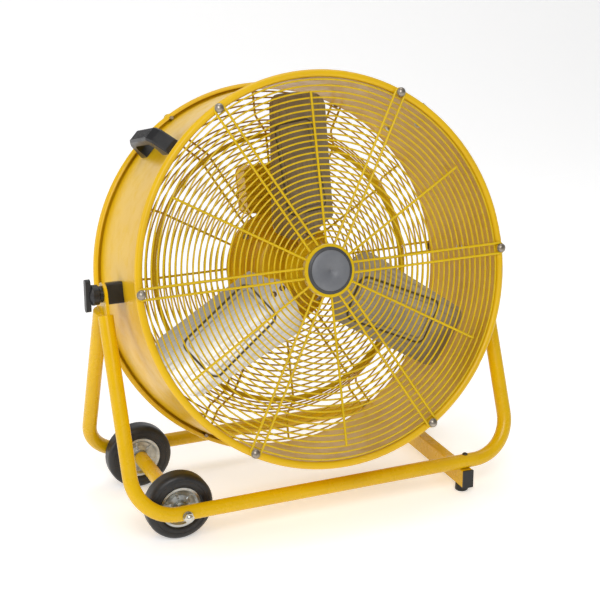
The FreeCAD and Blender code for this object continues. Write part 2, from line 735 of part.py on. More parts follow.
def fan_fasteners():
    """Rivets that hold each blade to its arm, and the set screw that locks the hub to the shaft."""
    rivets = []
    radius = value("rivetRadius")
    for k in range(3):
        for step in RIVET_STEPS:
            x_at = value("bladeRoot") + step
            front = -value("bladeThick") - 0.08
            shank = Part.makeCylinder(radius, 6.5, Vector(x_at, front - 0.1, 0), BACKWARD)
            shapes = []
            for station, turn in ((front, -1), (4.1, 1)):
                outward = Vector(0, turn, 0)
                seat = Vector(x_at, station, 0)
                ball = Part.makeSphere(6.2, seat - outward * 3.6)
                shapes.append(ball.common(Part.makeCylinder(6, 6, seat, outward)))
            rivet = shank.fuse(shapes).removeSplitter()
            rivet.Placement = Placement(Vector(), Rotation(Vector(0, 1, 0), -(value("fanPhase") + 120 * k))) \
                * Placement(Vector(0, value("fanPlane"), 0), Rotation(SIDEWAYS, value("bladePitch")))
            rivets.append(rivet)
    keep(group("blade_rivets", rivets, DRUM_PLACE))
    screw = doc.addObject("Part::Cylinder", "hub_set_screw")
    bind(screw, Radius="boltRadius - 0.02", Height="15.5")
    reach = Vector(0, value("fanPlane") + 18, value("shaftRadius") + 0.1)
    screw.Placement = DRUM_PLACE * Placement(reach, Rotation())
    keep(screw)


# ---------------------------------------------------------------- control box
def control_box():
    """Sheet-steel box on a bracket behind the rear grille, with switch, capacitor and gland."""
    bracket = new_body("control_bracket")
    sketch = new_sketch(bracket, "XZ_Plane", "-bracketFront")
    low = "(motorRadius + 3)"
    high = "mountPlateRadius"
    strip = "18"
    outline(sketch, [
        (f"{high} * cos(36)", f"{high} * sin(36)"),
        (strip, f"sqrt({high} ^ 2 - {strip} ^ 2)", high, 1), (strip, "boxCentre + 30"),
        (f"-{strip}", "boxCentre + 30"), (f"-{strip}", f"sqrt({high} ^ 2 - {strip} ^ 2)"),
        (f"-{high} * cos(36)", f"{high} * sin(36)", high, 1), (f"-{low} * cos(36)", f"{low} * sin(36)"),
        (f"{low} * cos(36)", f"{low} * sin(36)", low, -1),
    ])
    add_pad(bracket, sketch, "bracketThick", back=True)
    sketch = new_sketch(bracket, "XZ_Plane")
    for side in (-1, 1):
        ring(sketch, f"{side} * mountBoltCircle * cos(45)", "mountBoltCircle * sin(45)", "boltRadius + 0.1")
    add_pocket(bracket, sketch, "drumDepth * 2", both_ways=True)
    bracket.Placement = DRUM_PLACE
    keep(bracket)

    box = new_body("control_box")
    sketch = new_sketch(box, "XZ_Plane", "-boxFront")
    rounded_rectangle(sketch, "boxWidth / 2", "boxHeight / 2", "14", "0", "boxCentre")
    add_pad(box, sketch, "boxRear - boxFront", back=True)
    sketch = new_sketch(box, "XZ_Plane", "-(boxFront + boxWall)")
    rounded_rectangle(sketch, "boxWidth / 2 - boxWall", "boxHeight / 2 - boxWall", "12", "0", "boxCentre")
    add_pocket(box, sketch, "boxRear - boxFront", back=False)
    box.Placement = DRUM_PLACE
    keep(box)

    lid = new_body("control_lid")
    sketch = new_sketch(lid, "XZ_Plane", "-(boxRear + 0.05)")
    rounded_rectangle(sketch, "boxWidth / 2 + 1", "boxHeight / 2 + 1", "15", "0", "boxCentre")
    add_pad(lid, sketch, "lidThick", back=True)
    sketch = new_sketch(lid, "XZ_Plane")
    ring(sketch, "0", "knobHeight", "4.5")
    ring(sketch, "glandX", "boxCentre - glandDrop", "7")
    for x_side in (-1, 1):
        for z_side in (-1, 1):
            ring(sketch, f"{x_side} * (boxWidth / 2 - 8)", f"boxCentre + {z_side} * (boxHeight / 2 - 8)", "2.1")
    add_pocket(lid, sketch, "drumDepth * 2", both_ways=True)
    lid.Placement = DRUM_PLACE
    keep(lid)


def control_parts():
    """Everything fitted to the control box."""
    rear = value("boxRear")
    lid = value("lidThick")
    middle = value("boxCentre")
    screws = []
    for x_side in (-1, 1):
        for z_side in (-1, 1):
            spot = Vector(x_side * (value("boxWidth") / 2 - 8), rear + lid + 0.1,
                          middle + z_side * (value("boxHeight") / 2 - 8))
            ball = Part.makeSphere(4.4, spot - BACKWARD * 2.2)
            head = ball.common(Part.makeCylinder(4, 4, spot, BACKWARD))
            shank = Part.makeCylinder(2, 12, spot - BACKWARD * 12, BACKWARD)
            screws.append(head.fuse(shank).removeSplitter())
    keep(group("lid_screws", screws, DRUM_PLACE))

    capacitor = doc.addObject("Part::Cylinder", "run_capacitor")
    bind(capacitor, Radius="14", Height="58")
    at = Vector(-29, value("boxFront") + 16.5, middle - 24)
    capacitor.Placement = DRUM_PLACE * Placement(at, Rotation(Vector(0, 1, 0), 90))
    keep(capacitor)

    switch = doc.addObject("Part::Box", "rotary_switch")
    bind(switch, Length="30", Width="20", Height="30")
    at = Vector(-15, rear - 20.2, value("knobHeight") - 15)
    switch.Placement = DRUM_PLACE * Placement(at, Rotation())
    keep(switch)

    knob = new_body("speed_knob")
    front = "boxRear + lidThick + 0.5"
    add_turn(knob, [("0", "boxRear + 0.2"), ("3.8", "boxRear + 0.2"), ("3.8", front), ("17", front),
                    ("17", f"{front} + 5"), ("14.5", f"{front} + 8"), ("13", f"{front} + 16"),
                    ("12", f"{front} + 17.5"), ("0", f"{front} + 17.5")])
    sketch = new_sketch(knob, "XZ_Plane", f"-({front} + 8.5)")
    for side in (-1, 1):
        outline(sketch, rectangle("-20", f"{side} * 13 - 7", "20", f"{side} * 13 + 7"))
    add_pocket(knob, sketch, "12", back=False)
    knob.Placement = DRUM_PLACE * Placement(Vector(0, 0, value("knobHeight")), Rotation())
    keep(knob)

    gland = turned("cable_gland", [
        ("3.5", "0.05"), ("6.9", "0.05"), ("6.9", "2.6"), ("11", "2.6"), ("11", "6"), ("9.5", "6"),
        ("9.5", "7.5"), ("10.5", "7.5"), ("10.5", "14"), ("6.5", "19"), ("3.5", "19")])
    at = Vector(value("glandX"), rear, middle - value("glandDrop"))
    gland.Placement = DRUM_PLACE * Placement(at, Rotation())
    keep(gland)

    tube = doc.addObject("Part::Cylinder", "lead_tube")
    bind(tube, Radius="6", Height="boxCentre - boxHeight / 2 - 50.1")
    tube.Placement = Placement(Vector(-value("glandX"), value("boxFront") + 8, 50), Rotation())
    core = doc.addObject("Part::Cylinder", "lead_core")
    bind(core, Radius="motorRadius + 0.05", Height="drumDepth")
    core.Placement = Placement(Vector(), Rotation(SIDEWAYS, -90))
    lead = cut("motor_lead", tube, [core])
    lead.Placement = DRUM_PLACE
    keep(lead)


# ---------------------------------------------------------------- handles and pivot blocks
def wall_cylinder(name):
    tool = doc.addObject("Part::Cylinder", name)
    bind(tool, Radius="drumRadius + 0.15", Height="drumDepth")
    tool.Placement = Placement(Vector(0, -value("drumDepth") / 2, 0), Rotation(SIDEWAYS, -90))
    return tool


def carry_handle(label, clock):
    """Black bridge handle that stands on the drum wall and runs from front to rear."""
    body = new_body(label + "_bridge")
    sketch = new_sketch(body, "YZ_Plane")
    base = "drumRadius - 8"
    crest = "drumRadius + handleRise"
    end = "handleSpan + 17"
    outline(sketch, [
        (f"-({end})", base), (f"-({end}) + 32", base), (f"-({end}) + 28", "drumRadius + 14"),
        ("-36", f"{crest} - 13", "20", -1), ("36", f"{crest} - 13"),
        (f"{end} - 28", "drumRadius + 14", "20", -1), (f"{end} - 32", base), (end, base),
        (end, "drumRadius + 8"), (f"{end} - 14", f"{crest} - 8"), ("45", crest), ("-45", crest),
        (f"-({end}) + 14", f"{crest} - 8"), (f"-({end})", "drumRadius + 8"),
    ])
    pad = add_pad(body, sketch, "handleWidth", both_ways=True)
    shoulder = value("drumRadius") + 10
    sides = edges_where(body.Shape, lambda edge: abs(abs(edge.CenterOfMass.x) - value("handleWidth") / 2) < 0.01
                        and edge.CenterOfMass.z > shoulder
                        and (edge.CenterOfMass.z > shoulder + 21 or abs(edge.CenterOfMass.y) > value(end) - 12))
    add_fillet(body, pad, sides, "3", kind="Chamfer")
    tools = [wall_cylinder(label + "_wall")]
    for side in (-1, 1):
        hole = doc.addObject("Part::Cylinder", label + "_hole")
        bind(hole, Radius="boltRadius", Height="drumRadius / 16 + 5")
        hole.Placement = Placement(Vector(0, side * value("handleSpan"), value("drumRadius") - 10), Rotation())
        tools.append(hole)
    handle = cut(label, body, tools)
    handle.Placement = DRUM_PLACE * Placement(Vector(), Rotation(Vector(0, 1, 0), 90 - clock))
    keep(handle)


def pivot_block(label, clock):
    """Square black spacer between the drum wall and the stand, bored for the pivot stud."""
    body = new_body(label + "_blank")
    sketch = new_sketch(body, "YZ_Plane", "drumRadius - 6")
    rounded_rectangle(sketch, "15", "17.5", "4")
    ring(sketch, "0", "0", "studRadius + runningGap")
    add_pad(body, sketch, "plateInner - 0.4 - drumRadius + 6")
    tools = [wall_cylinder(label + "_wall")]
    for side in (-1, 1):
        hole = doc.addObject("Part::Cylinder", label + "_hole")
        bind(hole, Radius="boltRadius", Height="20")
        hole.Placement = Placement(Vector(value("drumRadius") - 6, side * value("blockScrew"), 0),
                                   Rotation(Vector(0, 1, 0), 90))
        tools.append(hole)
    block = cut(label, body, tools)
    block.Placement = drum_turn(clock)
    keep(block)


def wall_screws():
    """Pan-headed screws put in from inside the drum: two for each handle and two for each pivot block."""
    screws = []
    spots = [(value("handleAngle"), "handleSpan"), (180 - value("handleAngle"), "handleSpan"),
             (0, "blockScrew"), (180, "blockScrew")]
    inside = value("drumRadius") - value("sheetThick")
    for clock, station in spots:
        for side in (-1, 1):
            seat = Vector(inside - 0.35, side * value(station), 0)
            ball = Part.makeSphere(8, seat + SIDEWAYS * 4.8)
            head = ball.common(Part.makeCylinder(6, 6, seat, SIDEWAYS * -1))
            shank = Part.makeCylinder(value("boltRadius") - 0.02, 15, seat, SIDEWAYS)
            screws.append(turned_copy(head.fuse(shank).removeSplitter(), clock))
    keep(group("wall_screws", screws, DRUM_PLACE))


# ---------------------------------------------------------------- tilt knobs
def knob_place(side):
    return Placement(Vector(0, 0, value("pivotHeight")), Rotation(UP, -90 * side))


def tilt_knob(word, side):
    """Hand knob with a round hub and an upright wing bar, and the threaded stud moulded into it."""
    knob = new_body("tilt_knob_" + word)
    seat = "plateInner + plateThick + 0.3"
    back = "knobBack"
    add_turn(knob, [
        ("studRadius", seat), ("13.5", seat), ("13.5", f"{back} - 14"), ("16.5", f"{back} - 12"),
        ("17", f"{back} - 2"), ("15", back), ("9", f"{back} + 3"), ("0", f"{back} + 3"), ("0", back),
        ("studRadius", back)])
    wing = new_sketch(knob, "XZ_Plane", f"-({back} + 0.5)")
    rounded_rectangle(wing, "6", "27.5", "5.5")
    add_pad(knob, wing, "8.5", back=True)
    knob.Placement = knob_place(side)
    keep(knob)
    stud = turned("tilt_stud_" + word, [
        ("0", "drumRadius + 5"), ("studRadius - 1", "drumRadius + 5"), ("studRadius", "drumRadius + 6"),
        ("studRadius", back), ("0", back)], knob_place(side))
    keep(stud)


# ---------------------------------------------------------------- stand
LEAN = math.degrees(math.atan2(value("standDepth"), value("pivotHeight") - value("tubeHeight")))


def stand_loop(label, side):
    """A U-bent tube that leans in to the pivot; side -1 is the front loop and 1 the rear one."""
    body = new_body(label + "_tube")
    path = new_sketch(body, "XZ_Plane")
    outline(path, [
        ("-standHalf", "armLength"), ("-standHalf", "bendRadius"),
        ("-standHalf + bendRadius", "0", "bendRadius", 1), ("standHalf - bendRadius", "0"),
        ("standHalf", "bendRadius", "bendRadius", 1), ("standHalf", "armLength"),
    ], closed=False)
    for kind, radius in (("AdditivePipe", "tubeRadius"), ("SubtractivePipe", "tubeRadius - tubeWall")):
        section = new_sketch(body, "XY_Plane", "armLength")
        ring(section, "-standHalf", "0", radius)
        sweep = body.newObject("PartDesign::" + kind, label + "_" + kind.lower())
        sweep.Profile = section
        sweep.Spine = (path, [f"Edge{k + 1}" for k in range(path.GeometryCount)])
        doc.recompute()
    at = Vector(0, side * value("standDepth"), value("tubeHeight"))
    body.Placement = Placement(at, Rotation(SIDEWAYS, side * LEAN))
    axle = doc.addObject("Part::Cylinder", label + "_axle_hole")
    bind(axle, Radius="axleRadius + 0.05", Height="60")
    axle.Placement = Placement(Vector(-value("wheelX"), side * value("standDepth") - 30, value("tubeHeight")),
                               Rotation(SIDEWAYS, -90))
    bolt = doc.addObject("Part::Cylinder", label + "_bolt_hole")
    bind(bolt, Radius="boltRadius + 0.05", Height="60")
    bolt.Placement = Placement(Vector(value("memberX"), side * value("standDepth"), value("tubeHeight") - 30),
                               Rotation())
    return keep(cut(label, body, [axle, bolt]))


def pivot_plate(label, side):
    """Upright ear welded across the tops of a front arm and a rear arm, with the pivot hole."""
    slope = math.radians(LEAN)
    arm = value("armLength") + 0.05
    top_y = value("standDepth") - arm * math.sin(slope)
    top_z = value("tubeHeight") + arm * math.cos(slope)
    edge_y = top_y + 13 * math.cos(slope)
    edge_z = top_z + 13 * math.sin(slope)
    notch_z = top_z - top_y * math.tan(slope)
    body = new_body(label)
    sketch = new_sketch(body, "YZ_Plane", f"{side} * (plateInner + plateThick / 2)")
    rise = f"{edge_z - value('pivotHeight')}"
    outline(sketch, [("0", f"{notch_z - value('pivotHeight')}"), (f"{edge_y}", rise), ("plateCrown", "0"),
                     ("0", "plateCrown", "plateCrown", 1), ("-plateCrown", "0", "plateCrown", 1),
                     (f"-{edge_y}", rise)])
    ring(sketch, "0", "0", "studRadius + 0.1")
    add_pad(body, sketch, "plateThick", both_ways=True)
    body.Placement = Placement(Vector(0, 0, value("pivotHeight")), Rotation())
    keep(body)


def axle_parts():
    """Sleeve between the wheels, the rod through everything, and its nuts, washers and spacers."""
    place = Placement(Vector(-value("wheelX"), 0, value("tubeHeight")), Rotation())
    end = "wheelY - wheelWidth / 2 - 1.7"
    sleeve = turned("axle_tube", [
        ("axleRadius + 0.1", f"-({end})"), ("tubeRadius", f"-({end})"), ("tubeRadius", end),
        ("axleRadius + 0.1", end), ("axleRadius + 0.1", f"{end} - 5"), ("tubeRadius - tubeWall", f"{end} - 5"),
        ("tubeRadius - tubeWall", f"-({end}) + 5"), ("axleRadius + 0.1", f"-({end}) + 5")], place)
    keep(sleeve)
    tip = "standDepth + tubeRadius + 9"
    rod = [("0", f"-({tip})"), ("axleRadius", f"-({tip})"), ("axleRadius", tip), ("0", tip)]
    keep(turned("axle_rod", rod, place))

    shapes = []
    radius = value("axleRadius") + 0.02
    for side in (-1, 1):
        outward = Vector(0, side, 0)
        seat = value("standDepth") + value("tubeRadius") + 0.05
        washer = Part.makeCylinder(8.8, 1.6, outward * seat, outward)
        nut = hexagon(15, 7, outward * (seat + 1.6), outward)
        ball = Part.makeSphere(7.3, outward * (seat + 5)).common(
            Part.makeCylinder(9, 12, outward * (seat + 8.6), outward))
        cap = washer.fuse([nut, ball]).removeSplitter()
        rod_room = Part.makeCylinder(radius, value(tip) + 0.02, Vector(), outward)
        shapes.append(cap.cut(rod_room))
        hub_face = value("wheelY") + value("wheelWidth") / 2
        for station, depth in ((value(end) + 0.1, 1.4), (hub_face + 0.2, 6.5)):
            blank = Part.makeCylinder(9.5, depth, outward * station, outward)
            shapes.append(blank.cut(Part.makeCylinder(radius, depth, outward * station, outward)))
    keep(group("axle_nuts", shapes, place))


def cross_member():
    """Box-section foot under the loops, with its end plugs, push-in rubber feet and bolts."""
    top = "tubeHeight - tubeRadius - 0.05"
    tall = f"(({top} - memberBottom) / 2)"
    middle = f"(({top} + memberBottom) / 2)"
    end = "standDepth + tubeRadius"
    body = new_body("cross_member")
    sketch = new_sketch(body, "XZ_Plane")
    for inset in ("0", "tubeWall"):
        rounded_rectangle(sketch, f"memberWidth / 2 - {inset}", f"{tall} - {inset}", f"2.5 - {inset} / 2",
                          "memberX", middle)
    add_pad(body, sketch, f"2 * ({end})", both_ways=True)
    sketch = new_sketch(body, "XY_Plane", "tubeHeight")
    for side in (-1, 1):
        ring(sketch, "memberX", f"{side} * standDepth", "boltRadius + 0.05")
    add_pocket(body, sketch, "tubeRadius + 8")
    sketch = new_sketch(body, "XY_Plane", "memberBottom + tubeWall + 1")
    for side in (-1, 1):
        ring(sketch, "memberX", f"{side} * footY", "footStem + 0.05")
    add_pocket(body, sketch, "tubeWall + 2")
    keep(body)

    feet = []
    plugs = []
    for side in (-1, 1):
        foot = turned(f"foot_{side + 1}", [
            ("0", "0"), ("footRadius - 1.5", "0"), ("footRadius", "1.5"), ("footRadius - 0.5", "memberBottom - 0.05"),
            ("footStem", "memberBottom - 0.05"), ("footStem", "memberBottom + 6"), ("0", "memberBottom + 6")])
        foot.Placement = Placement(Vector(value("memberX"), side * value("footY"), 0), Rotation(SIDEWAYS, 90))
        feet.append(foot)
        plug = new_body(f"plug_{side + 1}")
        for inset, start, length in (("0", end, "3"), ("(tubeWall + 0.1)", f"{end} - 6", "6.5")):
            sketch = new_sketch(plug, "XZ_Plane", f"-({start} + 0.05)")
            rounded_rectangle(sketch, f"memberWidth / 2 - {inset}", f"{tall} - {inset}", "1.5", "memberX", middle)
            add_pad(plug, sketch, length, back=True)
        if side < 0:
            plug.Placement = Placement(Vector(2 * value("memberX"), 0, 0), Rotation(UP, 180))
        plugs.append(plug)
    keep(pair("rubber_feet", feet))
    keep(pair("member_plugs", plugs))

    bolts = []
    for side in (-1, 1):
        seat = Vector(value("memberX"), side * value("standDepth"), value("tubeHeight") + value("tubeRadius"))
        ball = Part.makeSphere(6, seat - UP * 2.5)
        head = ball.common(Part.makeCylinder(4.8, 6, seat + UP * 0.1, UP))
        shank = Part.makeCylinder(value("boltRadius"), 36, seat - UP * 35, UP)
        nut = hexagon(10, 5, seat - UP * (2 * value("tubeRadius") + 0.1 + value("tubeWall") + 5), UP)
        bolts.append(head.fuse([shank, nut]).removeSplitter())
    keep(group("foot_bolts", bolts))


# ---------------------------------------------------------------- wheels
def wheel(word, side):
    """Solid rubber tyre on a rim of two pressed discs, running on a plain bush."""
    place = Placement(Vector(-value("wheelX"), side * value("wheelY"), value("tubeHeight")), Rotation())
    half = "wheelWidth / 2"
    keep(turned("tyre_" + word, [
        ("rimRadius + 0.05", f"-({half}) + 3"), ("rimRadius + 3", f"-({half})"),
        ("wheelRadius - 10", f"-({half})"), ("wheelRadius", f"-({half}) + 10", "10", 1),
        ("wheelRadius", f"{half} - 10"), ("wheelRadius - 10", half, "10", 1),
        ("rimRadius + 3", half), ("rimRadius + 0.05", f"{half} - 3")], place))
    rim = fuse("rim_" + word, [rim_disc("rim_outer_" + word, 1), rim_disc("rim_inner_" + word, -1)])
    rim.Placement = place
    keep(rim)
    bush = rectangle("axleRadius + runningGap", f"-({half})", "8", half)
    keep(turned("bush_" + word, bush, place))


def rim_disc(name, side):
    """Pressed half of a rim: a dished disc that turns in at the hub and out under the tyre."""
    outer = (("8", "17"), ("12", "17"), ("13", "12.5"), ("20", "9.5"), ("27", "11.5"), ("31", "15"),
             ("rimRadius", "15"), ("rimRadius", "0"))
    inner = (("rimRadius - 1.6", "0"), ("rimRadius - 1.6", "13.4"), ("31.6", "13.4"), ("27.6", "9.8"),
             ("20", "7.8"), ("11.6", "11"), ("10.4", "15.4"), ("8", "15.4"))
    return turned(name, [(radius, f"{side} * {station}") for radius, station in outer + inner])


# ---------------------------------------------------------------- build
drum_shell()
front_guard()
badge()
rim_screws("front_guard_screws", -1)
rear_guard()
rim_screws("rear_guard_screws", 1)
motor_plate()
motor_shell()
motor_inside()
motor_bolts()
for blade_number in (1, 2, 3):
    blade(blade_number)
fan_hub()
fan_fasteners()
control_box()
control_parts()
for handle_word, handle_clock in (("right", value("handleAngle")), ("left", 180 - value("handleAngle"))):
    carry_handle("carry_handle_" + handle_word, handle_clock)
for block_word, block_clock in (("right", 0), ("left", 180)):
    pivot_block("pivot_block_" + block_word, block_clock)
wall_screws()
for knob_word, knob_side in (("right", 1), ("left", -1)):
    tilt_knob(knob_word, knob_side)
    pivot_plate("pivot_plate_" + knob_word, knob_side)
stand_loop("stand_front_loop", -1)
stand_loop("stand_rear_loop", 1)
axle_parts()
cross_member()
for wheel_word, wheel_side in (("front", -1), ("rear", 1)):
    wheel(wheel_word, wheel_side)
doc.recompute()

for item in doc.Objects:
    if "Invalid" in item.State or "Error" in item.State:
        raise ValueError(f"{item.Label} failed: {item.State}")

os.makedirs("parts", exist_ok=True)
for item in nodes:
    shape = item.Shape
    if shape.isNull() or not shape.isValid() or not shape.Solids:
        raise ValueError(item.Label + " has no sound shape")
    shape.exportStep(f"parts/{item.Label}.step")
    print(f"{item.Label}: {len(shape.Solids)} solid(s), {shape.Volume / 1000:.1f} cm3")
print(len(nodes), "sub-parts")
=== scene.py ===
import math

import bmesh
import bpy
from mathutils import Matrix, Vector


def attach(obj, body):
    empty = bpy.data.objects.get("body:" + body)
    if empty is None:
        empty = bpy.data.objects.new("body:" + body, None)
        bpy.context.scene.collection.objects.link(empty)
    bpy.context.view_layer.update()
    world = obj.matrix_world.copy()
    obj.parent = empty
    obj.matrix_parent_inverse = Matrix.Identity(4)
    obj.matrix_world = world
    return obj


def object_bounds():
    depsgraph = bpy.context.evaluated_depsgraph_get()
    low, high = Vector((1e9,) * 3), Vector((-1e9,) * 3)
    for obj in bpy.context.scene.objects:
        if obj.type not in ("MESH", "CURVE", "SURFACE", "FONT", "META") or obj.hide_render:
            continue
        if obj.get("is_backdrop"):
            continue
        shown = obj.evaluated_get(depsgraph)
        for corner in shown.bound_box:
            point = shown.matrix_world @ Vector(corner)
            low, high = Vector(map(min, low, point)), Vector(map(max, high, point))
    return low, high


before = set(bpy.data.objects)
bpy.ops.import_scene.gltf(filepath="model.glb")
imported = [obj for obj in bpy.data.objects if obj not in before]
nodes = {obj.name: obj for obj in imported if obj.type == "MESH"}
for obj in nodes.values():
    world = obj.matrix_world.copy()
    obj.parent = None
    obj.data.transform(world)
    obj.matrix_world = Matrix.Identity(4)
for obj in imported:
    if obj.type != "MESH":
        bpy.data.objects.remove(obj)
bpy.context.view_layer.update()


# ---------------------------------------------------------------- tube stand
# Two loops of round steel tube, bent cold and welded to flat ears at the tilt pivots.
# The stand, its axle sleeve and its box-section foot are powder coated yellow in one batch.
STAND_YELLOW = (0.74, 0.455, 0.002, 1)
STAND_YELLOW_DEEP = (0.60, 0.35, 0.0015, 1)
PIVOT_HEIGHT = 0.4
STAND_DEPTH = 0.144
TUBE_HEIGHT = 0.0575


def new_group(name, inputs, outputs):
    """An empty node group with the named sockets, and its input and output nodes."""
    group = bpy.data.node_groups.new(name, "ShaderNodeTree")
    for label, kind, start in inputs:
        socket = group.interface.new_socket(name=label, in_out="INPUT", socket_type=kind)
        socket.default_value = start
    for label, kind in outputs:
        group.interface.new_socket(name=label, in_out="OUTPUT", socket_type=kind)
    return group, group.nodes.new("NodeGroupInput"), group.nodes.new("NodeGroupOutput")


def add_noise(tree, place, scale, detail=3.0, rough=0.55):
    noise = tree.nodes.new("ShaderNodeTexNoise")
    noise.inputs["Scale"].default_value = scale
    noise.inputs["Detail"].default_value = detail
    noise.inputs["Roughness"].default_value = rough
    tree.links.new(place, noise.inputs["Vector"])
    return noise.outputs["Fac"]


def add_range(tree, value, low, high, to_low=0.0, to_high=1.0):
    spread = tree.nodes.new("ShaderNodeMapRange")
    for label, amount in (("From Min", low), ("From Max", high),
                          ("To Min", to_low), ("To Max", to_high)):
        spread.inputs[label].default_value = amount
    tree.links.new(value, spread.inputs["Value"])
    return spread.outputs["Result"]


def add_mix(tree, fac, first, second):
    mix = tree.nodes.new("ShaderNodeMix")
    mix.data_type = "RGBA"
    for label, source in (("Factor", fac), ("A", first), ("B", second)):
        socket = next(s for s in mix.inputs
                      if s.name == label and (label == "Factor" or s.type == "RGBA"))
        if isinstance(source, (int, float, tuple)):
            socket.default_value = source
        else:
            tree.links.new(source, socket)
    return next(s for s in mix.outputs if s.type == "RGBA")


def add_math(tree, kind, first, second):
    node = tree.nodes.new("ShaderNodeMath")
    node.operation = kind
    for slot, source in enumerate((first, second)):
        if isinstance(source, (int, float)):
            node.inputs[slot].default_value = source
        else:
            tree.links.new(source, node.inputs[slot])
    return node.outputs[0]


def powder_coat_group():
    """Baked powder: fine orange peel, slow drift of tone, and a few dull handling marks."""
    group, into, out = new_group(
        "powder_coat",
        [("Coat", "NodeSocketColor", (1, 1, 1, 1)), ("Thin Coat", "NodeSocketColor", (1, 1, 1, 1)),
         ("Drift", "NodeSocketFloat", 0.5), ("Gloss Low", "NodeSocketFloat", 0.22),
         ("Gloss High", "NodeSocketFloat", 0.42)],
        [("Colour", "NodeSocketColor"), ("Roughness", "NodeSocketFloat"), ("Height", "NodeSocketFloat")])
    place = group.nodes.new("ShaderNodeTexCoord").outputs["Object"]
    drift = add_range(group, add_noise(group, place, 7, 3), 0.38, 0.68)
    amount = add_math(group, "MULTIPLY", drift, into.outputs["Drift"])
    speck = add_range(group, add_noise(group, place, 160, 4, 0.7), 0.62, 0.74, 0, 0.35)
    tone = add_mix(group, amount, into.outputs["Coat"], into.outputs["Thin Coat"])
    group.links.new(add_mix(group, speck, tone, into.outputs["Thin Coat"]), out.inputs["Colour"])
    scuff = add_range(group, add_noise(group, place, 38, 5, 0.65), 0.45, 0.7)
    gloss = add_mix(group, scuff, into.outputs["Gloss Low"], into.outputs["Gloss High"])
    group.links.new(gloss, out.inputs["Roughness"])
    group.links.new(add_noise(group, place, 420, 2), out.inputs["Height"])
    return group


POWDER_COAT = powder_coat_group()


def start_material(name):
    """A new material with its shader; fixed values are set on the shader's own sockets."""
    material = bpy.data.materials.new(name)
    material.use_nodes = True
    return material, material.node_tree, material.node_tree.nodes["Principled BSDF"]


def place_group(tree, group, **settings):
    node = tree.nodes.new("ShaderNodeGroup")
    node.node_tree = group
    for label, amount in settings.items():
        node.inputs[label.replace("_", " ")].default_value = amount
    return node


def connect_surface(tree, shader, made, bump, distance):
    """Colour, roughness and bump of a finish group feed the shader."""
    tree.links.new(made.outputs["Colour"], shader.inputs["Base Color"])
    tree.links.new(made.outputs["Roughness"], shader.inputs["Roughness"])
    ripple = tree.nodes.new("ShaderNodeBump")
    ripple.inputs["Strength"].default_value = bump
    ripple.inputs["Distance"].default_value = distance
    tree.links.new(made.outputs["Height"], ripple.inputs["Height"])
    tree.links.new(ripple.outputs["Normal"], shader.inputs["Normal"])


def yellow_coat(name, coat, thin_coat, drift=0.5, gloss=(0.22, 0.42)):
    material, tree, shader = start_material(name)
    made = place_group(tree, POWDER_COAT, Coat=coat, Thin_Coat=thin_coat, Drift=drift,
                       Gloss_Low=gloss[0], Gloss_High=gloss[1])
    connect_surface(tree, shader, made, 0.25, 0.0004)
    shader.inputs["Specular IOR Level"].default_value = 0.28
    shader.inputs["Coat Weight"].default_value = 0.06
    shader.inputs["Coat Roughness"].default_value = 0.18
    return material


def dress(material, *names):
    """Puts one material on CAD nodes, in every slot."""
    for name in names:
        data = nodes[name].data
        data.materials.clear()
        data.materials.append(material)


stand_coat = yellow_coat("stand_coat", STAND_YELLOW, STAND_YELLOW_DEEP, 0.6)
dress(stand_coat, "stand_front_loop", "stand_rear_loop", "pivot_plate_left", "pivot_plate_right",
      "axle_tube", "cross_member")


def new_piece(name, mesh, body, material, smooth=True):
    """A finished mesh as an object that rides on a body."""
    data = bpy.data.meshes.new(name)
    mesh.to_mesh(data)
    mesh.free()
    piece = bpy.data.objects.new(name, data)
    bpy.context.scene.collection.objects.link(piece)
    data.materials.append(material)
    for face in data.polygons:
        face.use_smooth = smooth
    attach(piece, body)
    return piece


BEAD_SIDES = 10
CAP_SIDES = 32


def bead_along(mesh, route, thick, flat, ripple):
    """A weld bead: an oval section swept along a route, swelling at each stack of the torch."""
    rings = []
    for index, spot in enumerate(route):
        ahead = route[min(index + 1, len(route) - 1)] - route[max(index - 1, 0)]
        side = ahead.cross(Vector((1, 0, 0)))
        side = side.normalized() if side.length > 1e-9 else Vector((0, 1, 0))
        up = ahead.cross(side).normalized()
        swell = 1 + ripple * math.sin(index * math.pi / 2)
        ends = min(1, 0.35 + min(index, len(route) - 1 - index) * 0.3)
        rings.append([mesh.verts.new(spot + (side * math.cos(turn) * thick + up * math.sin(turn) * flat)
                                     * swell * ends)
                      for turn in (k * 2 * math.pi / BEAD_SIDES for k in range(BEAD_SIDES))])
    for before, after in zip(rings, rings[1:]):
        for k in range(BEAD_SIDES):
            beside = (k + 1) % BEAD_SIDES
            mesh.faces.new((before[k], before[beside], after[beside], after[k]))
    mesh.faces.new(rings[0][::-1])
    mesh.faces.new(rings[-1])


# Weld beads along both faces of each ear, where the tube ends stop against it,
# and pressed steel caps that close the open tube tops. They are coated with the stand.
TUBE_CENTRE_X = 0.345
TUBE_OUTER = 0.0125
ARM = 0.3355
LEAN = math.atan2(STAND_DEPTH, PIVOT_HEIGHT - TUBE_HEIGHT)
EAR_FACES = (0.3411, 0.3459)
EAR_WELD = (0.0018, 0.0016, 0.12)
CAP_RADIUS = TUBE_OUTER * 0.97

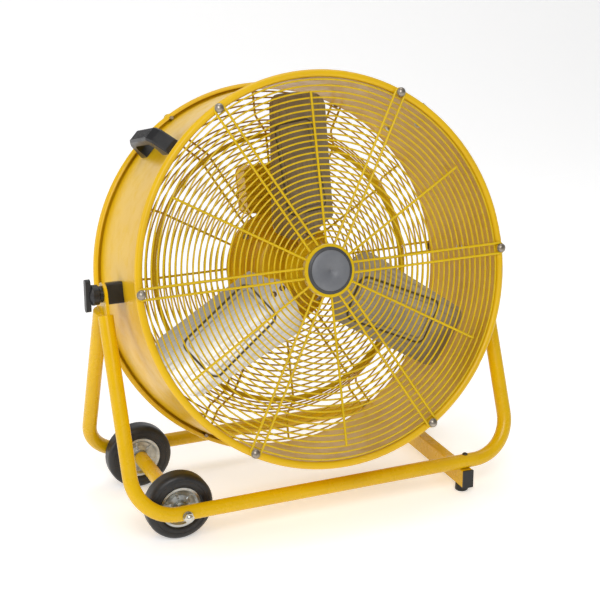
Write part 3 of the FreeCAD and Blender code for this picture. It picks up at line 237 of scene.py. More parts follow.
weld_mesh = bmesh.new()
cap_mesh = bmesh.new()
for side in (-1, 1):
    for facing in (-1, 1):
        along_arm = Vector((0, -facing * math.sin(LEAN), math.cos(LEAN)))
        top = Vector((side * TUBE_CENTRE_X, facing * STAND_DEPTH, TUBE_HEIGHT)) + along_arm * ARM
        across = Vector((0, facing * math.cos(LEAN), math.sin(LEAN)))
        for ear_face in EAR_FACES:
            start = Vector((side * ear_face, top.y, top.z))
            route = [start + across * (TUBE_OUTER * 0.96 * (k / 12 - 1)) for k in range(25)]
            bead_along(weld_mesh, route, *EAR_WELD)
        turns = [k * 2 * math.pi / CAP_SIDES for k in range(CAP_SIDES)]
        rim = [top + Vector((math.cos(turn), 0, 0)) * CAP_RADIUS + across * math.sin(turn) * CAP_RADIUS
               for turn in turns]
        lower = [cap_mesh.verts.new(point - along_arm * 0.0015) for point in rim]
        upper = [cap_mesh.verts.new(point + (point - top) * -0.12 + along_arm * 0.0008) for point in rim]
        crown = cap_mesh.verts.new(top + along_arm * 0.0018)
        under = cap_mesh.verts.new(top - along_arm * 0.0015)
        for k in range(CAP_SIDES):
            beside = (k + 1) % CAP_SIDES
            cap_mesh.faces.new((lower[k], lower[beside], upper[beside], upper[k]))
            cap_mesh.faces.new((upper[k], upper[beside], crown))
            cap_mesh.faces.new((lower[beside], lower[k], under))
for mesh in (weld_mesh, cap_mesh):
    bmesh.ops.recalc_face_normals(mesh, faces=mesh.faces)
new_piece("ear_welds", weld_mesh, "stand", stand_coat)
new_piece("tube_caps", cap_mesh, "stand", stand_coat)


# ---------------------------------------------------------------- axle and foot fasteners
# Bright steel rod through both loops, with zinc plated dome nuts, washers and spacers.
# The same plate is on studs and small screws; guard screws are dull, foot bolts black oxide.
def turned_metal_group():
    """Plated or ground steel: fine marks, cloudy plating and some dull spots."""
    group, into, out = new_group(
        "turned_metal",
        [("Metal", "NodeSocketColor", (1, 1, 1, 1)), ("Cloud", "NodeSocketColor", (1, 1, 1, 1)),
         ("Mark Scale", "NodeSocketFloat", 300.0), ("Gloss Low", "NodeSocketFloat", 0.25),
         ("Gloss High", "NodeSocketFloat", 0.5)],
        [("Colour", "NodeSocketColor"), ("Roughness", "NodeSocketFloat"), ("Height", "NodeSocketFloat")])
    place = group.nodes.new("ShaderNodeTexCoord").outputs["Object"]
    cloud = add_range(group, add_noise(group, place, 55, 5, 0.6), 0.4, 0.66)
    tone = add_mix(group, cloud, into.outputs["Metal"], into.outputs["Cloud"])
    group.links.new(tone, out.inputs["Colour"])
    marks = group.nodes.new("ShaderNodeTexNoise")
    marks.inputs["Detail"].default_value = 4
    group.links.new(place, marks.inputs["Vector"])
    group.links.new(into.outputs["Mark Scale"], marks.inputs["Scale"])
    wear = add_range(group, marks.outputs["Fac"], 0.35, 0.7)
    gloss = add_mix(group, wear, into.outputs["Gloss Low"], into.outputs["Gloss High"])
    group.links.new(gloss, out.inputs["Roughness"])
    group.links.new(marks.outputs["Fac"], out.inputs["Height"])
    return group


TURNED_METAL = turned_metal_group()


def bare_metal(name, metal, cloud, gloss, mark_scale=300.0, bump=0.15):
    material, tree, shader = start_material(name)
    made = place_group(tree, TURNED_METAL, Metal=metal, Cloud=cloud, Mark_Scale=mark_scale,
                       Gloss_Low=gloss[0], Gloss_High=gloss[1])
    connect_surface(tree, shader, made, bump, 0.0002)
    shader.inputs["Metallic"].default_value = 1.0
    return material


zinc_plate = bare_metal("zinc_plate", (0.62, 0.62, 0.58, 1), (0.42, 0.41, 0.36, 1), (0.24, 0.45))
ground_steel = bare_metal("ground_steel", (0.60, 0.60, 0.61, 1), (0.45, 0.45, 0.46, 1),
                          (0.18, 0.36), 600.0)
dull_zinc = bare_metal("dull_zinc", (0.44, 0.40, 0.35, 1), (0.26, 0.22, 0.17, 1), (0.30, 0.50))
black_oxide = bare_metal("black_oxide", (0.10, 0.09, 0.075, 1), (0.05, 0.045, 0.04, 1), (0.35, 0.55))
dress(zinc_plate, "axle_nuts", "motor_bolts", "lid_screws", "hub_set_screw", "tilt_stud_left",
      "tilt_stud_right", "wall_screws")
dress(dull_zinc, "front_guard_screws", "rear_guard_screws")
dress(black_oxide, "foot_bolts")
dress(ground_steel, "axle_rod", "motor_shaft", "motor_bearings")


# ---------------------------------------------------------------- rubber feet
# Two round rubber pads pushed into the underside of the box section.
# The rubber has a fine matt grain, is dusty low down and paler where it rubs.
def moulded_grain_group():
    """Fine mould grain with a slow change of shade and dust that settles low on the object."""
    group, into, out = new_group(
        "moulded_grain",
        [("Body", "NodeSocketColor", (0, 0, 0, 1)), ("Bloom", "NodeSocketColor", (0, 0, 0, 1)),
         ("Grain Scale", "NodeSocketFloat", 500.0), ("Dust Height", "NodeSocketFloat", 0.03),
         ("Gloss Low", "NodeSocketFloat", 0.4), ("Gloss High", "NodeSocketFloat", 0.6)],
        [("Colour", "NodeSocketColor"), ("Roughness", "NodeSocketFloat"), ("Height", "NodeSocketFloat")])
    place = group.nodes.new("ShaderNodeTexCoord").outputs["Object"]
    split = group.nodes.new("ShaderNodeSeparateXYZ")
    group.links.new(place, split.inputs[0])
    cloud = add_range(group, add_noise(group, place, 30, 5, 0.65), 0.42, 0.72, 0, 0.7)
    low = add_math(group, "DIVIDE", split.outputs["Z"], into.outputs["Dust Height"])
    dust = add_range(group, low, 0.0, 1.0, 0.75, 0.0)
    settled = add_math(group, "MULTIPLY", dust, add_noise(group, place, 90, 4))
    dusty = add_math(group, "MAXIMUM", cloud, settled)
    shade = add_mix(group, dusty, into.outputs["Body"], into.outputs["Bloom"])
    group.links.new(shade, out.inputs["Colour"])
    gloss = add_mix(group, dusty, into.outputs["Gloss Low"], into.outputs["Gloss High"])
    group.links.new(gloss, out.inputs["Roughness"])
    grain = group.nodes.new("ShaderNodeTexVoronoi")
    group.links.new(place, grain.inputs["Vector"])
    group.links.new(into.outputs["Grain Scale"], grain.inputs["Scale"])
    group.links.new(grain.outputs["Distance"], out.inputs["Height"])
    return group


MOULDED_GRAIN = moulded_grain_group()


def moulded(name, body, bloom, gloss, grain_scale=500.0, dust_height=0.001, bump=0.3):
    material, tree, shader = start_material(name)
    made = place_group(tree, MOULDED_GRAIN, Body=body, Bloom=bloom, Grain_Scale=grain_scale,
                       Dust_Height=dust_height, Gloss_Low=gloss[0], Gloss_High=gloss[1])
    connect_surface(tree, shader, made, bump, 0.0003)
    shader.inputs["Specular IOR Level"].default_value = 0.45
    return material


foot_rubber = moulded("foot_rubber", (0.012, 0.012, 0.013, 1), (0.035, 0.034, 0.032, 1),
                      (0.5, 0.8), 700.0, 0.006)
dress(foot_rubber, "rubber_feet")


# ---------------------------------------------------------------- wheels
# Solid rubber tyres on zinc plated rims of two pressed discs, running on plain nylon bushes.
# The tyres have two moulded rings on each side, and the rims have pressed spokes.
WHEEL_X = -0.262
WHEEL_Y = 0.1075
WHEEL_Z = TUBE_HEIGHT
TYRE_SIDE = 0.017
TYRE_RINGS = ((0.0395, 0.0007), (0.0465, 0.0006))
RING_FOOT = 0.0008
RING_CREST = 0.0004
RING_SUNK = 0.0006
RIM_SPOKES = 6
SPOKE_START = 0.0150
SPOKE_STEP = 0.0018
DISH_EDGE = 0.020
DISH_RUN = 0.007

tyre_rubber = moulded("tyre_rubber", (0.010, 0.010, 0.011, 1), (0.045, 0.043, 0.040, 1),
                      (0.38, 0.62), 900.0, 0.016)
dress(tyre_rubber, "tyre_front", "tyre_rear")
rim_zinc = bare_metal("rim_zinc", (0.57, 0.59, 0.58, 1), (0.36, 0.37, 0.35, 1), (0.30, 0.5), 140.0, 0.25)
dress(rim_zinc, "rim_front", "rim_rear")
bush_nylon = moulded("bush_nylon", (0.55, 0.54, 0.50, 1), (0.42, 0.41, 0.37, 1), (0.4, 0.6), 400.0)
dress(bush_nylon, "bush_front", "bush_rear")


def spin_profile(mesh, profile, centre, steps):
    """Turns a closed profile of (radius, station) about the wheel axle, which runs along Y."""
    rings = []
    for k in range(steps):
        angle = 2 * math.pi * k / steps
        outward = Vector((math.cos(angle), 0, math.sin(angle)))
        rings.append([mesh.verts.new(centre + outward * radius + Vector((0, station, 0)))
                      for radius, station in profile])
    count = len(profile)
    for k in range(steps):
        here, after = rings[k], rings[(k + 1) % steps]
        for j in range(count):
            beside = (j + 1) % count
            mesh.faces.new((here[j], here[beside], after[beside], after[j]))


def tyre_ribs(centre):
    """Two raised rings on each sidewall."""
    mesh = bmesh.new()
    for side in (-1, 1):
        for radius, height in TYRE_RINGS:
            sunk = side * (TYRE_SIDE - RING_SUNK)
            crest = side * (TYRE_SIDE + height)
            spin_profile(mesh, [(radius - RING_FOOT, sunk), (radius - RING_CREST, crest),
                                (radius + RING_CREST, crest), (radius + RING_FOOT, sunk)], centre, 96)
    return mesh


def dish_depth(radius):
    """How far the rim disc's pressed dish stands out from its middle plane."""
    outer = max(0, radius - DISH_EDGE) / DISH_RUN * 0.002
    inner = max(0, DISH_EDGE - radius) / DISH_RUN * 0.003
    return 0.0095 + outer + inner


def rim_spokes(centre):
    """Six pressed ribs that stand on the dish of each rim disc."""
    mesh = bmesh.new()
    for side in (-1, 1):
        for k in range(RIM_SPOKES):
            clock = k * 2 * math.pi / RIM_SPOKES + 0.3
            turn = Matrix.Translation(centre) @ Matrix.Rotation(clock, 4, "Y")
            rows = []
            for step in range(9):
                radius = SPOKE_START + step * SPOKE_STEP
                dish = dish_depth(radius)
                ends = math.sin(math.pi * min(1, (min(step, 8 - step) + 0.6) / 2.6) / 2)
                lift = side * (dish + 0.0011 * ends)
                sunk = side * (dish - 0.0010)
                section = ((-0.0026, sunk), (-0.0014, lift), (0.0014, lift), (0.0026, sunk))
                rows.append([mesh.verts.new(turn @ Vector((radius, level, across)))
                             for across, level in section])
            for before, after in zip(rows, rows[1:]):
                for j in range(4):
                    beside = (j + 1) % 4
                    mesh.faces.new((before[j], before[beside], after[beside], after[j]))
            mesh.faces.new(rows[0][::-1])
            mesh.faces.new(rows[-1])
    return mesh


for word, side in (("front", -1), ("rear", 1)):
    centre = Vector((WHEEL_X, side * WHEEL_Y, WHEEL_Z))
    for name, mesh, material, slot in (
            (f"tyre_ribs_{word}", tyre_ribs(centre), tyre_rubber, "tyre_rubber"),
            (f"rim_spokes_{word}", rim_spokes(centre), rim_zinc, "zinc_rim")):
        bmesh.ops.recalc_face_normals(mesh, faces=mesh.faces)
        new_piece(name, mesh, f"wheel_{word}", material)


# ---------------------------------------------------------------- drum wall
# Rolled sheet steel with a bead turned at each end and one butt weld along the bottom.
# It is powder coated in a warmer yellow than the stand, inside and out.
DRUM_YELLOW = (0.76, 0.47, 0.004, 1)
DRUM_YELLOW_WARM = (0.66, 0.38, 0.005, 1)
LEAN_BACK = math.radians(15)
DRUM_TO_WORLD = Matrix.Translation((0, 0, PIVOT_HEIGHT)) @ Matrix.Rotation(-LEAN_BACK, 4, "X")
DRUM_OUTER = 0.314
SEAM_CLOCK = 262

drum_coat = yellow_coat("drum_coat", DRUM_YELLOW, DRUM_YELLOW_WARM, 0.7, (0.30, 0.46))
dress(drum_coat, "drum_shell")


def drum_point(clock, radius, station):
    """A point of the drum: angle from the right pivot, radius, and station along the fan axis."""
    angle = math.radians(clock)
    return DRUM_TO_WORLD @ Vector((radius * math.cos(angle), station, radius * math.sin(angle)))


seam_mesh = bmesh.new()
seam = [drum_point(SEAM_CLOCK, DRUM_OUTER + 0.0002, -0.118 + k * 0.002) for k in range(119)]
bead_along(seam_mesh, seam, 0.0021, 0.0011, 0.15)
bmesh.ops.recalc_face_normals(seam_mesh, faces=seam_mesh.faces)
new_piece("wall_seam", seam_mesh, "drum", drum_coat)


# ---------------------------------------------------------------- wire guards
# Hoops of drawn wire, resistance welded to hairpin and single spokes at every crossing.
# The coat is thick on the wire and gathers in a small drop round each weld.
GUARD_YELLOW = (0.70, 0.47, 0.004, 1)
GUARD_YELLOW_DEEP = (0.50, 0.32, 0.003, 1)
WIRE_STATION = 0.128

guard_coat = yellow_coat("guard_coat", GUARD_YELLOW, GUARD_YELLOW_DEEP, 0.5, (0.24, 0.40))
dress(guard_coat, "front_guard_rings", "front_guard_spokes", "front_guard_hub",
      "rear_guard_rings", "rear_guard_spokes")


def evenly(first, last, pitch):
    count = round((last - first) / pitch)
    return [first + (last - first) * k / count for k in range(count + 1)]


def weld_drops(name, spots, size):
    """A small flattened drop of coated weld at each crossing."""
    mesh = bmesh.new()
    for spot, squash in spots:
        made = bmesh.ops.create_icosphere(mesh, subdivisions=1, radius=size)
        bmesh.ops.scale(mesh, vec=(1, squash, 1), verts=made["verts"])
        bmesh.ops.translate(mesh, vec=spot, verts=made["verts"])
    mesh.transform(DRUM_TO_WORLD)
    return new_piece(name, mesh, "drum", guard_coat)


def crossings(hoops, reach, half):
    """Where the hairpin legs and the single spokes cross the hoops; reach ends the single spokes."""
    spots = []
    for radius, station in hoops:
        for clock in range(0, 360, 60):
            angle = math.radians(clock)
            for side in (-1, 1):
                run = math.sqrt(radius * radius - half * half)
                spots.append((Vector((run * math.cos(angle) - side * half * math.sin(angle), station,
                                      run * math.sin(angle) + side * half * math.cos(angle))), 0.8))
            if radius < reach:
                middle = math.radians(clock + 30)
                spots.append((Vector((radius * math.cos(middle), station, radius * math.sin(middle))), 0.8))
    return spots


HAIRPIN_HALF = 0.0085
HOOP_PITCH = 0.0098
OUTER_HOOP = 0.309
REAR_STEP = 0.043
HEAVY_HOOP = 0.231
DROP_SIZE = 0.0021

front_hoops = [(radius, -WIRE_STATION) for radius in evenly(0.055, OUTER_HOOP, HOOP_PITCH)]
weld_drops("front_guard_welds", crossings(front_hoops, 0.291, HAIRPIN_HALF), DROP_SIZE)
rear_hoops = [(radius, WIRE_STATION) for radius in evenly(0.277, OUTER_HOOP, 0.010)]
disc_hoops = evenly(0.110, 0.222, HOOP_PITCH) + [HEAVY_HOOP]
rear_hoops += [(radius, WIRE_STATION - REAR_STEP) for radius in disc_hoops]
weld_drops("rear_guard_welds", crossings(rear_hoops, 0.305, HAIRPIN_HALF), DROP_SIZE)


# ---------------------------------------------------------------- centre badge
# A moulded grey disc pressed into the guard's cup. Its face has a soft satin grain
# and a low crown, inside a darker turned edge; it carries no mark.
badge_plastic = moulded("badge_plastic", (0.140, 0.145, 0.158, 1), (0.190, 0.195, 0.205, 1),
                        (0.42, 0.6), 500.0)
badge_edge = moulded("badge_edge", (0.040, 0.041, 0.044, 1), (0.070, 0.070, 0.074, 1),
                     (0.4, 0.55), 500.0)
dress(badge_edge, "badge")


def turned_on_drum(name, profile, material, steps=96):
    """A closed profile of (radius, station) turned about the fan axis."""
    mesh = bmesh.new()
    spin_profile(mesh, profile, Vector((0, 0, 0)), steps)
    mesh.transform(DRUM_TO_WORLD)
    bmesh.ops.recalc_face_normals(mesh, faces=mesh.faces)
    return new_piece(name, mesh, "drum", material)


turned_on_drum("badge_face", [(0.0005, -0.1373), (0.0325, -0.1373), (0.0335, -0.1378), (0.0330, -0.1383),
                              (0.0200, -0.1384), (0.0005, -0.1385)], badge_plastic)


# ---------------------------------------------------------------- motor
# Cast end bells and a rolled housing, bolted through a flange to the rear guard's plate.
# Everything outside is coated; the core is stacked sheet and the windings are lacquered copper.
MOTOR_YELLOW = (0.80, 0.50, 0.006, 1)
MOTOR_YELLOW_DEEP = (0.60, 0.34, 0.004, 1)

motor_coat = yellow_coat("motor_coat", MOTOR_YELLOW, MOTOR_YELLOW_DEEP, 0.6, (0.28, 0.46))
dress(motor_coat, "motor_plate", "motor_housing", "motor_front_bell", "motor_rear_bell",
      "control_bracket", "control_box", "control_lid")
stacked_sheet = bare_metal("stacked_sheet", (0.30, 0.30, 0.31, 1), (0.18, 0.17, 0.16, 1),
                           (0.4, 0.6), 800.0)
dress(stacked_sheet, "stator_core", "rotor_core")
winding_copper = bare_metal("winding_copper", (0.58, 0.22, 0.08, 1), (0.38, 0.13, 0.05, 1),
                            (0.25, 0.4), 700.0, 0.6)
dress(winding_copper, "stator_windings")


# ---------------------------------------------------------------- fan
# Three pressed aluminium blades riveted to the arms of a coated hub.
# The sheet keeps its rolling streaks along the blade and is duller and stained in cloudy patches.
FAN_PHASE = 88
BLADE_PITCH = math.radians(15)
PANEL_TURN = math.radians(7)
PANEL_MIDDLE = (0.171, 0, 0.003)
PANEL_HALF_LENGTH = 0.074
PANEL_HALF_WIDTH = 0.038
PANEL_CORNER = 0.012


def panel_distance(tree, along, across):
    """Distance in metres from the rounded outline of the pressed panel, negative inside it."""
    past_end, past_side = (
        add_math(tree, "SUBTRACT", add_math(tree, "ABSOLUTE", offset, 0), half - PANEL_CORNER)
        for offset, half in ((along, PANEL_HALF_LENGTH), (across, PANEL_HALF_WIDTH)))
    squares = [add_math(tree, "POWER", add_math(tree, "MAXIMUM", past, 0), 2)
               for past in (past_end, past_side)]
    beyond = add_math(tree, "SQRT", add_math(tree, "ADD", squares[0], squares[1]), 0)
    within = add_math(tree, "MINIMUM", add_math(tree, "MAXIMUM", past_end, past_side), 0)
    return add_math(tree, "SUBTRACT", add_math(tree, "ADD", beyond, within), PANEL_CORNER)


def line_mask(tree, distance, middle, core, edge):
    """One on a line at the given distance from the outline, fading to nothing at its edges."""
    away = add_math(tree, "ABSOLUTE", add_math(tree, "SUBTRACT", distance, middle), 0)
    return add_range(tree, away, core, edge, 1, 0)


def rotate_about(tree, source, axis, angle):
    node = tree.nodes.new("ShaderNodeVectorRotate")
    node.rotation_type = axis + "_AXIS"
    tree.links.new(source, node.inputs["Vector"])
    if isinstance(angle, float):
        node.inputs["Angle"].default_value = angle
    else:
        tree.links.new(angle, node.inputs["Angle"])
    return node.outputs[0]


def rolled_sheet_group():
    """Mill-finish aluminium: streaks along the blade, cloudy patches, and painted shade and painted
    highlight round the pressed panel.
    """
    group, into, out = new_group(
        "rolled_sheet",
        [("Clock", "NodeSocketFloat", 0.0), ("Sheet", "NodeSocketColor", (1, 1, 1, 1)),
         ("Stain", "NodeSocketColor", (1, 1, 1, 1)), ("Grime", "NodeSocketColor", (0, 0, 0, 1))],
        [("Colour", "NodeSocketColor"), ("Roughness", "NodeSocketFloat"), ("Height", "NodeSocketFloat")])
    place = group.nodes.new("ShaderNodeTexCoord").outputs["Object"]
    lift = group.nodes.new("ShaderNodeVectorMath")
    lift.operation = "SUBTRACT"
    lift.inputs[1].default_value = (0, 0, PIVOT_HEIGHT)
    group.links.new(place, lift.inputs[0])
    upright = rotate_about(group, lift.outputs[0], "X", LEAN_BACK)
    radial = rotate_about(group, upright, "Y", into.outputs["Clock"])
    stretch = group.nodes.new("ShaderNodeMapping")
    stretch.inputs["Scale"].default_value = (4, 60, 60)
    group.links.new(radial, stretch.inputs["Vector"])
    streak = add_noise(group, stretch.outputs[0], 3.2, 5, 0.65)
    patch = add_range(group, add_noise(group, place, 14, 4), 0.4, 0.68, 0, 0.6)
    dull = add_math(group, "MAXIMUM", add_range(group, streak, 0.42, 0.72, 0, 0.8), patch)
    metal = add_mix(group, dull, into.outputs["Sheet"], into.outputs["Stain"])

    to_panel = group.nodes.new("ShaderNodeVectorMath")
    to_panel.operation = "SUBTRACT"
    to_panel.inputs[1].default_value = PANEL_MIDDLE
    group.links.new(radial, to_panel.inputs[0])
    squared = group.nodes.new("ShaderNodeSeparateXYZ")
    group.links.new(rotate_about(group, to_panel.outputs[0], "Y", PANEL_TURN), squared.inputs[0])
    across = add_math(group, "DIVIDE", squared.outputs["Z"], math.cos(BLADE_PITCH))
    distance = panel_distance(group, squared.outputs["X"], across)
    # Painted shade: dark lines along the outer and inner foot of the pressed bead, where the emboss would
    # throw shade.
    painted_shade_lines = add_math(group, "MAXIMUM", line_mask(group, distance, 0.0018, 0.0010, 0.0028),
                     add_math(group, "MULTIPLY", line_mask(group, distance, -0.0066, 0.0006, 0.0020), 0.55))
    # Painted highlight: the crest of the bead is mixed back to the plain, lighter sheet colour.
    painted_bead_highlight = line_mask(group, distance, -0.0024, 0.0016, 0.0028)
    pressed = add_mix(group, add_math(group, "MULTIPLY", painted_bead_highlight, 0.6), metal, into.outputs["Sheet"])
    group.links.new(add_mix(group, painted_shade_lines, pressed, into.outputs["Grime"]), out.inputs["Colour"])
    gloss = add_range(group, streak, 0.3, 0.7, 0.30, 0.50)
    group.links.new(add_math(group, "MAXIMUM", gloss, add_math(group, "MULTIPLY", painted_shade_lines, 0.8)),
                    out.inputs["Roughness"])
    group.links.new(streak, out.inputs["Height"])
    return group


ROLLED_SHEET = rolled_sheet_group()
# Painted shade colour: a dark brown for the lines along both feet of each blade's pressed bead.
BEAD_SHADE_COLOUR = (0.17, 0.14, 0.09, 1)
# Painted light: the lower left blade gets a paler sheet and the other two a darker, browner one, as lit and
# shaded copies of one aluminium.
LIT_SHEET_COLOURS = ((0.64, 0.63, 0.60, 1), (0.42, 0.40, 0.36, 1))
SHADED_SHEET_COLOURS = ((0.45, 0.40, 0.30, 1), (0.27, 0.22, 0.15, 1))
for number, (sheet, stain) in enumerate((SHADED_SHEET_COLOURS, LIT_SHEET_COLOURS, SHADED_SHEET_COLOURS), start=1):
    material, tree, shader = start_material(f"blade_sheet_{number}")
    made = place_group(tree, ROLLED_SHEET, Clock=math.radians(FAN_PHASE + 120 * (number - 1)),
                       Sheet=sheet, Stain=stain, Grime=BEAD_SHADE_COLOUR)
    connect_surface(tree, shader, made, 0.2, 0.0003)
    shader.inputs["Metallic"].default_value = 0.9
    dress(material, f"fan_blade_{number}")

hub_coat = yellow_coat("hub_coat", DRUM_YELLOW, DRUM_YELLOW_WARM, 0.6, (0.25, 0.42))
dress(hub_coat, "fan_hub")
rivet_steel = bare_metal("rivet_steel", (0.40, 0.30, 0.20, 1), (0.25, 0.17, 0.10, 1), (0.35, 0.5))
dress(rivet_steel, "blade_rivets")


# ---------------------------------------------------------------- switch gear
# A round dial plate behind the speed knob, the moulded gland and the fitted electrical parts.
# The dial has ticks and plain numbers; the switch and the capacitor sit inside the box.
KNOB_HEIGHT = 0.158
LID_REAR = 0.13455
PLATE_BACK = LID_REAR + 0.0001
PLATE_FACE = LID_REAR + 0.0004
PLATE_INNER = 0.0045
PLATE_OUTER = 0.0260
TICK_FACE = LID_REAR + 0.0006
TICK_HALF = 0.0004
TICK_OUTER = 0.0203
NUMBER_RADIUS = 0.0230

fitting_plastic = moulded("fitting_plastic", (0.015, 0.015, 0.016, 1), (0.035, 0.035, 0.036, 1),
                          (0.35, 0.5), 600.0)
dress(fitting_plastic, "cable_gland", "motor_lead", "rotary_switch", "speed_knob")
capacitor_case = moulded("capacitor_case", (0.62, 0.62, 0.59, 1), (0.50, 0.49, 0.46, 1),
                         (0.3, 0.45), 300.0)
dress(capacitor_case, "run_capacitor")
dial_black = moulded("dial_black", (0.02, 0.02, 0.02, 1), (0.035, 0.035, 0.035, 1),
                     (0.3, 0.4), 800.0)
dial_white = moulded("dial_white", (0.75, 0.75, 0.72, 1), (0.62, 0.62, 0.60, 1),
                     (0.4, 0.5), 800.0)

dial_mesh = bmesh.new()
spin_profile(dial_mesh, [(PLATE_INNER, PLATE_BACK), (PLATE_OUTER, PLATE_BACK),
                         (PLATE_OUTER, PLATE_FACE), (PLATE_INNER, PLATE_FACE)],
             Vector((0, 0, KNOB_HEIGHT)), 72)
dial_mesh.transform(DRUM_TO_WORLD)
bmesh.ops.recalc_face_normals(dial_mesh, faces=dial_mesh.faces)
new_piece("dial_plate", dial_mesh, "drum", dial_black, smooth=False)

tick_mesh = bmesh.new()
for step in range(13):
    long_tick = step % 6 == 0
    turn = (DRUM_TO_WORLD @ Matrix.Translation((0, 0, KNOB_HEIGHT))
            @ Matrix.Rotation(math.radians(90 - step * 10), 4, "Y"))
    inner = 0.0182 if long_tick else 0.0188
    corners = [Vector((radius, TICK_FACE, across)) for radius, across in (
        (inner, -TICK_HALF), (TICK_OUTER, -TICK_HALF), (TICK_OUTER, TICK_HALF), (inner, TICK_HALF))]
    top = [tick_mesh.verts.new(turn @ corner) for corner in corners]
    low = [tick_mesh.verts.new(turn @ (corner - Vector((0, 0.0003, 0)))) for corner in corners]
    tick_mesh.faces.new(top)
    tick_mesh.faces.new(low[::-1])
    for k in range(4):
        tick_mesh.faces.new((top[k], low[k], low[(k + 1) % 4], top[(k + 1) % 4]))
bmesh.ops.recalc_face_normals(tick_mesh, faces=tick_mesh.faces)
new_piece("dial_ticks", tick_mesh, "drum", dial_white, smooth=False)

for number, degrees in ((0, 90), (1, 30), (2, -30)):
    digit = bpy.data.curves.new(f"dial_number_{number}", "FONT")
    digit.body = str(number)
    digit.size = 0.0055
    digit.extrude = 0.00012
    digit.align_x = "CENTER"
    digit.align_y = "CENTER"
    piece = bpy.data.objects.new(f"dial_number_{number}", digit)
    bpy.context.scene.collection.objects.link(piece)
    angle = math.radians(degrees)
    spot = Vector((NUMBER_RADIUS * math.cos(angle), LID_REAR + 0.0005,
                   KNOB_HEIGHT + NUMBER_RADIUS * math.sin(angle)))
    facing = Matrix(((-1, 0, 0), (0, 0, 1), (0, 1, 0))).to_4x4()
    piece.matrix_world = DRUM_TO_WORLD @ Matrix.Translation(spot) @ facing
    digit.materials.append(dial_white)
    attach(piece, "drum")


# ---------------------------------------------------------------- handles, blocks and knobs
# Black moulded nylon: bridge handles, blocks at the pivots, wing knobs and box-section plugs.
# The grip of each handle has moulded cross ribs; the parts are grained and rubbed a little grey.
HANDLE_CLOCKS = {"right": 45, "left": 135}
GRIP_FACE = 0.3537
RIB_CREST = 0.3547
RIB_PITCH = 0.008
RIB_COUNT = 11

black_nylon = moulded("black_nylon", (0.008, 0.008, 0.009, 1), (0.022, 0.022, 0.023, 1),
                      (0.34, 0.52), 650.0)
dress(black_nylon, "carry_handle_left", "carry_handle_right", "pivot_block_left", "pivot_block_right",
      "tilt_knob_left", "tilt_knob_right", "member_plugs")


def grip_ribs(clock):
    """Low ribs across the outside of a handle's grip."""
    mesh = bmesh.new()
    place = DRUM_TO_WORLD @ Matrix.Rotation(math.radians(90 - clock), 4, "Y")
    for k in range(RIB_COUNT):
        station = RIB_PITCH * (k - (RIB_COUNT - 1) / 2)
        rows = []
        for across in (-0.0098, -0.0092, 0.0092, 0.0098):
            height = GRIP_FACE if abs(across) > 0.0095 else RIB_CREST
            section = ((-0.0016, GRIP_FACE), (-0.0008, height), (0.0008, height), (0.0016, GRIP_FACE))
            rows.append([mesh.verts.new(place @ Vector((across, station + along, level)))
                         for along, level in section])
        for before, after in zip(rows, rows[1:]):
            for j in range(3):
                mesh.faces.new((before[j], before[j + 1], after[j + 1], after[j]))
    return mesh


for word, clock in HANDLE_CLOCKS.items():
    mesh = grip_ribs(clock)
    bmesh.ops.remove_doubles(mesh, verts=mesh.verts, dist=1e-6)
    bmesh.ops.recalc_face_normals(mesh, faces=mesh.faces)
    new_piece(f"grip_ribs_{word}", mesh, "drum", black_nylon, smooth=False)


# ---------------------------------------------------------------- floor, light and camera
# A pale studio sweep, three large soft lights and the camera at eye height to the left.
FLAT_STEPS = 8
SWEEP_STEPS = 16
SWEEP_START = 1.7
SWEEP_RADIUS = 2.2

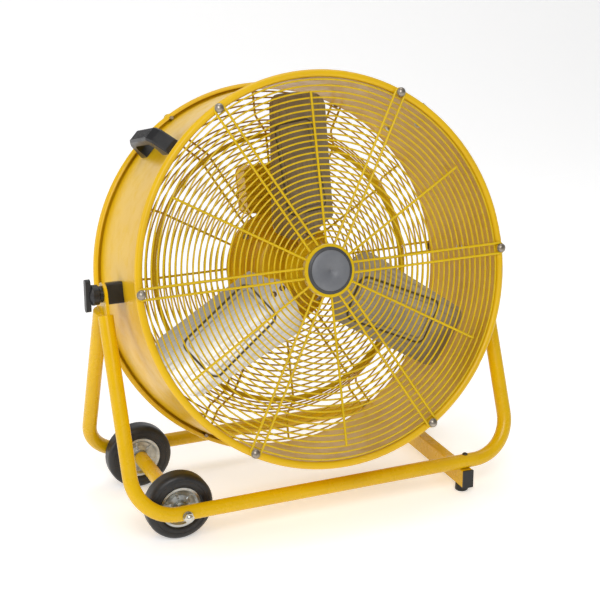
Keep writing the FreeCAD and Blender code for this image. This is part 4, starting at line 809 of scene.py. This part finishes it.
floor_mesh = bmesh.new()
rows = []
for step in range(FLAT_STEPS + SWEEP_STEPS + 1):
    if step < FLAT_STEPS:
        run, rise = -6 + step * 1.1, 0.0
    else:
        bend = (step - FLAT_STEPS) / SWEEP_STEPS * math.pi / 2
        run = SWEEP_START + SWEEP_RADIUS * math.sin(bend)
        rise = SWEEP_RADIUS * (1 - math.cos(bend))
    rows.append([floor_mesh.verts.new((across, run, rise)) for across in (-7, 7)])
for before, after in zip(rows, rows[1:]):
    floor_mesh.faces.new((before[0], before[1], after[1], after[0]))
floor_data = bpy.data.meshes.new("studio_floor")
floor_mesh.to_mesh(floor_data)
floor_mesh.free()
floor = bpy.data.objects.new("studio_floor", floor_data)
bpy.context.scene.collection.objects.link(floor)
for face in floor_data.polygons:
    face.use_smooth = True
material, tree, shader = start_material("pale_sweep")
shader.inputs["Base Color"].default_value = (0.90, 0.90, 0.90, 1)
shader.inputs["Roughness"].default_value = 0.9
shader.inputs["Emission Color"].default_value = (1, 1, 1, 1)
shader.inputs["Emission Strength"].default_value = 0.38
floor_data.materials.append(material)
floor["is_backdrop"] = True

world = bpy.data.worlds.new("studio")
bpy.context.scene.world = world
world.use_nodes = True
world.node_tree.nodes["Background"].inputs["Color"].default_value = (1, 1, 1, 1)
world.node_tree.nodes["Background"].inputs["Strength"].default_value = 0.34


def soft_light(name, spot, aim, size, power, tint=(1, 1, 1)):
    lamp = bpy.data.lights.new(name, "AREA")
    lamp.shape = "RECTANGLE"
    lamp.size, lamp.size_y = size
    lamp.energy = power
    lamp.color = tint
    holder = bpy.data.objects.new(name, lamp)
    bpy.context.scene.collection.objects.link(holder)
    holder.location = spot
    holder.rotation_mode = "QUATERNION"
    holder.rotation_quaternion = (Vector(aim) - Vector(spot)).to_track_quat("-Z", "Y")


soft_light("key_light", (-0.8, -2.6, 2.5), (0, 0, 0.35), (1.6, 1.6), 54)
soft_light("left_light", (-2.6, 0.3, 1.2), (0, 0, 0.4), (1.4, 1.6), 20, (1.0, 0.92, 0.88))
soft_light("top_light", (0.4, 0.6, 2.9), (0, 0, 0.3), (2.2, 2.2), 26)

AIM = Vector((0.0026, 0, 0.3431))
AZIMUTH = math.radians(-23.15)
ELEVATION = math.radians(18.91)
DISTANCE = 2.727
back = Vector((math.sin(AZIMUTH) * math.cos(ELEVATION),
               -math.cos(AZIMUTH) * math.cos(ELEVATION), math.sin(ELEVATION)))
lens = bpy.data.cameras.new("camera")
lens.lens = 95.7
lens.sensor_width = 36
camera = bpy.data.objects.new("camera", lens)
bpy.context.scene.collection.objects.link(camera)
camera.location = AIM + back * DISTANCE
camera.rotation_mode = "QUATERNION"
camera.rotation_quaternion = (-back).to_track_quat("-Z", "Y")
bpy.context.scene.camera = camera
bpy.context.scene.view_settings.view_transform = "Standard"

bpy.context.view_layer.update()
low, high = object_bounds()
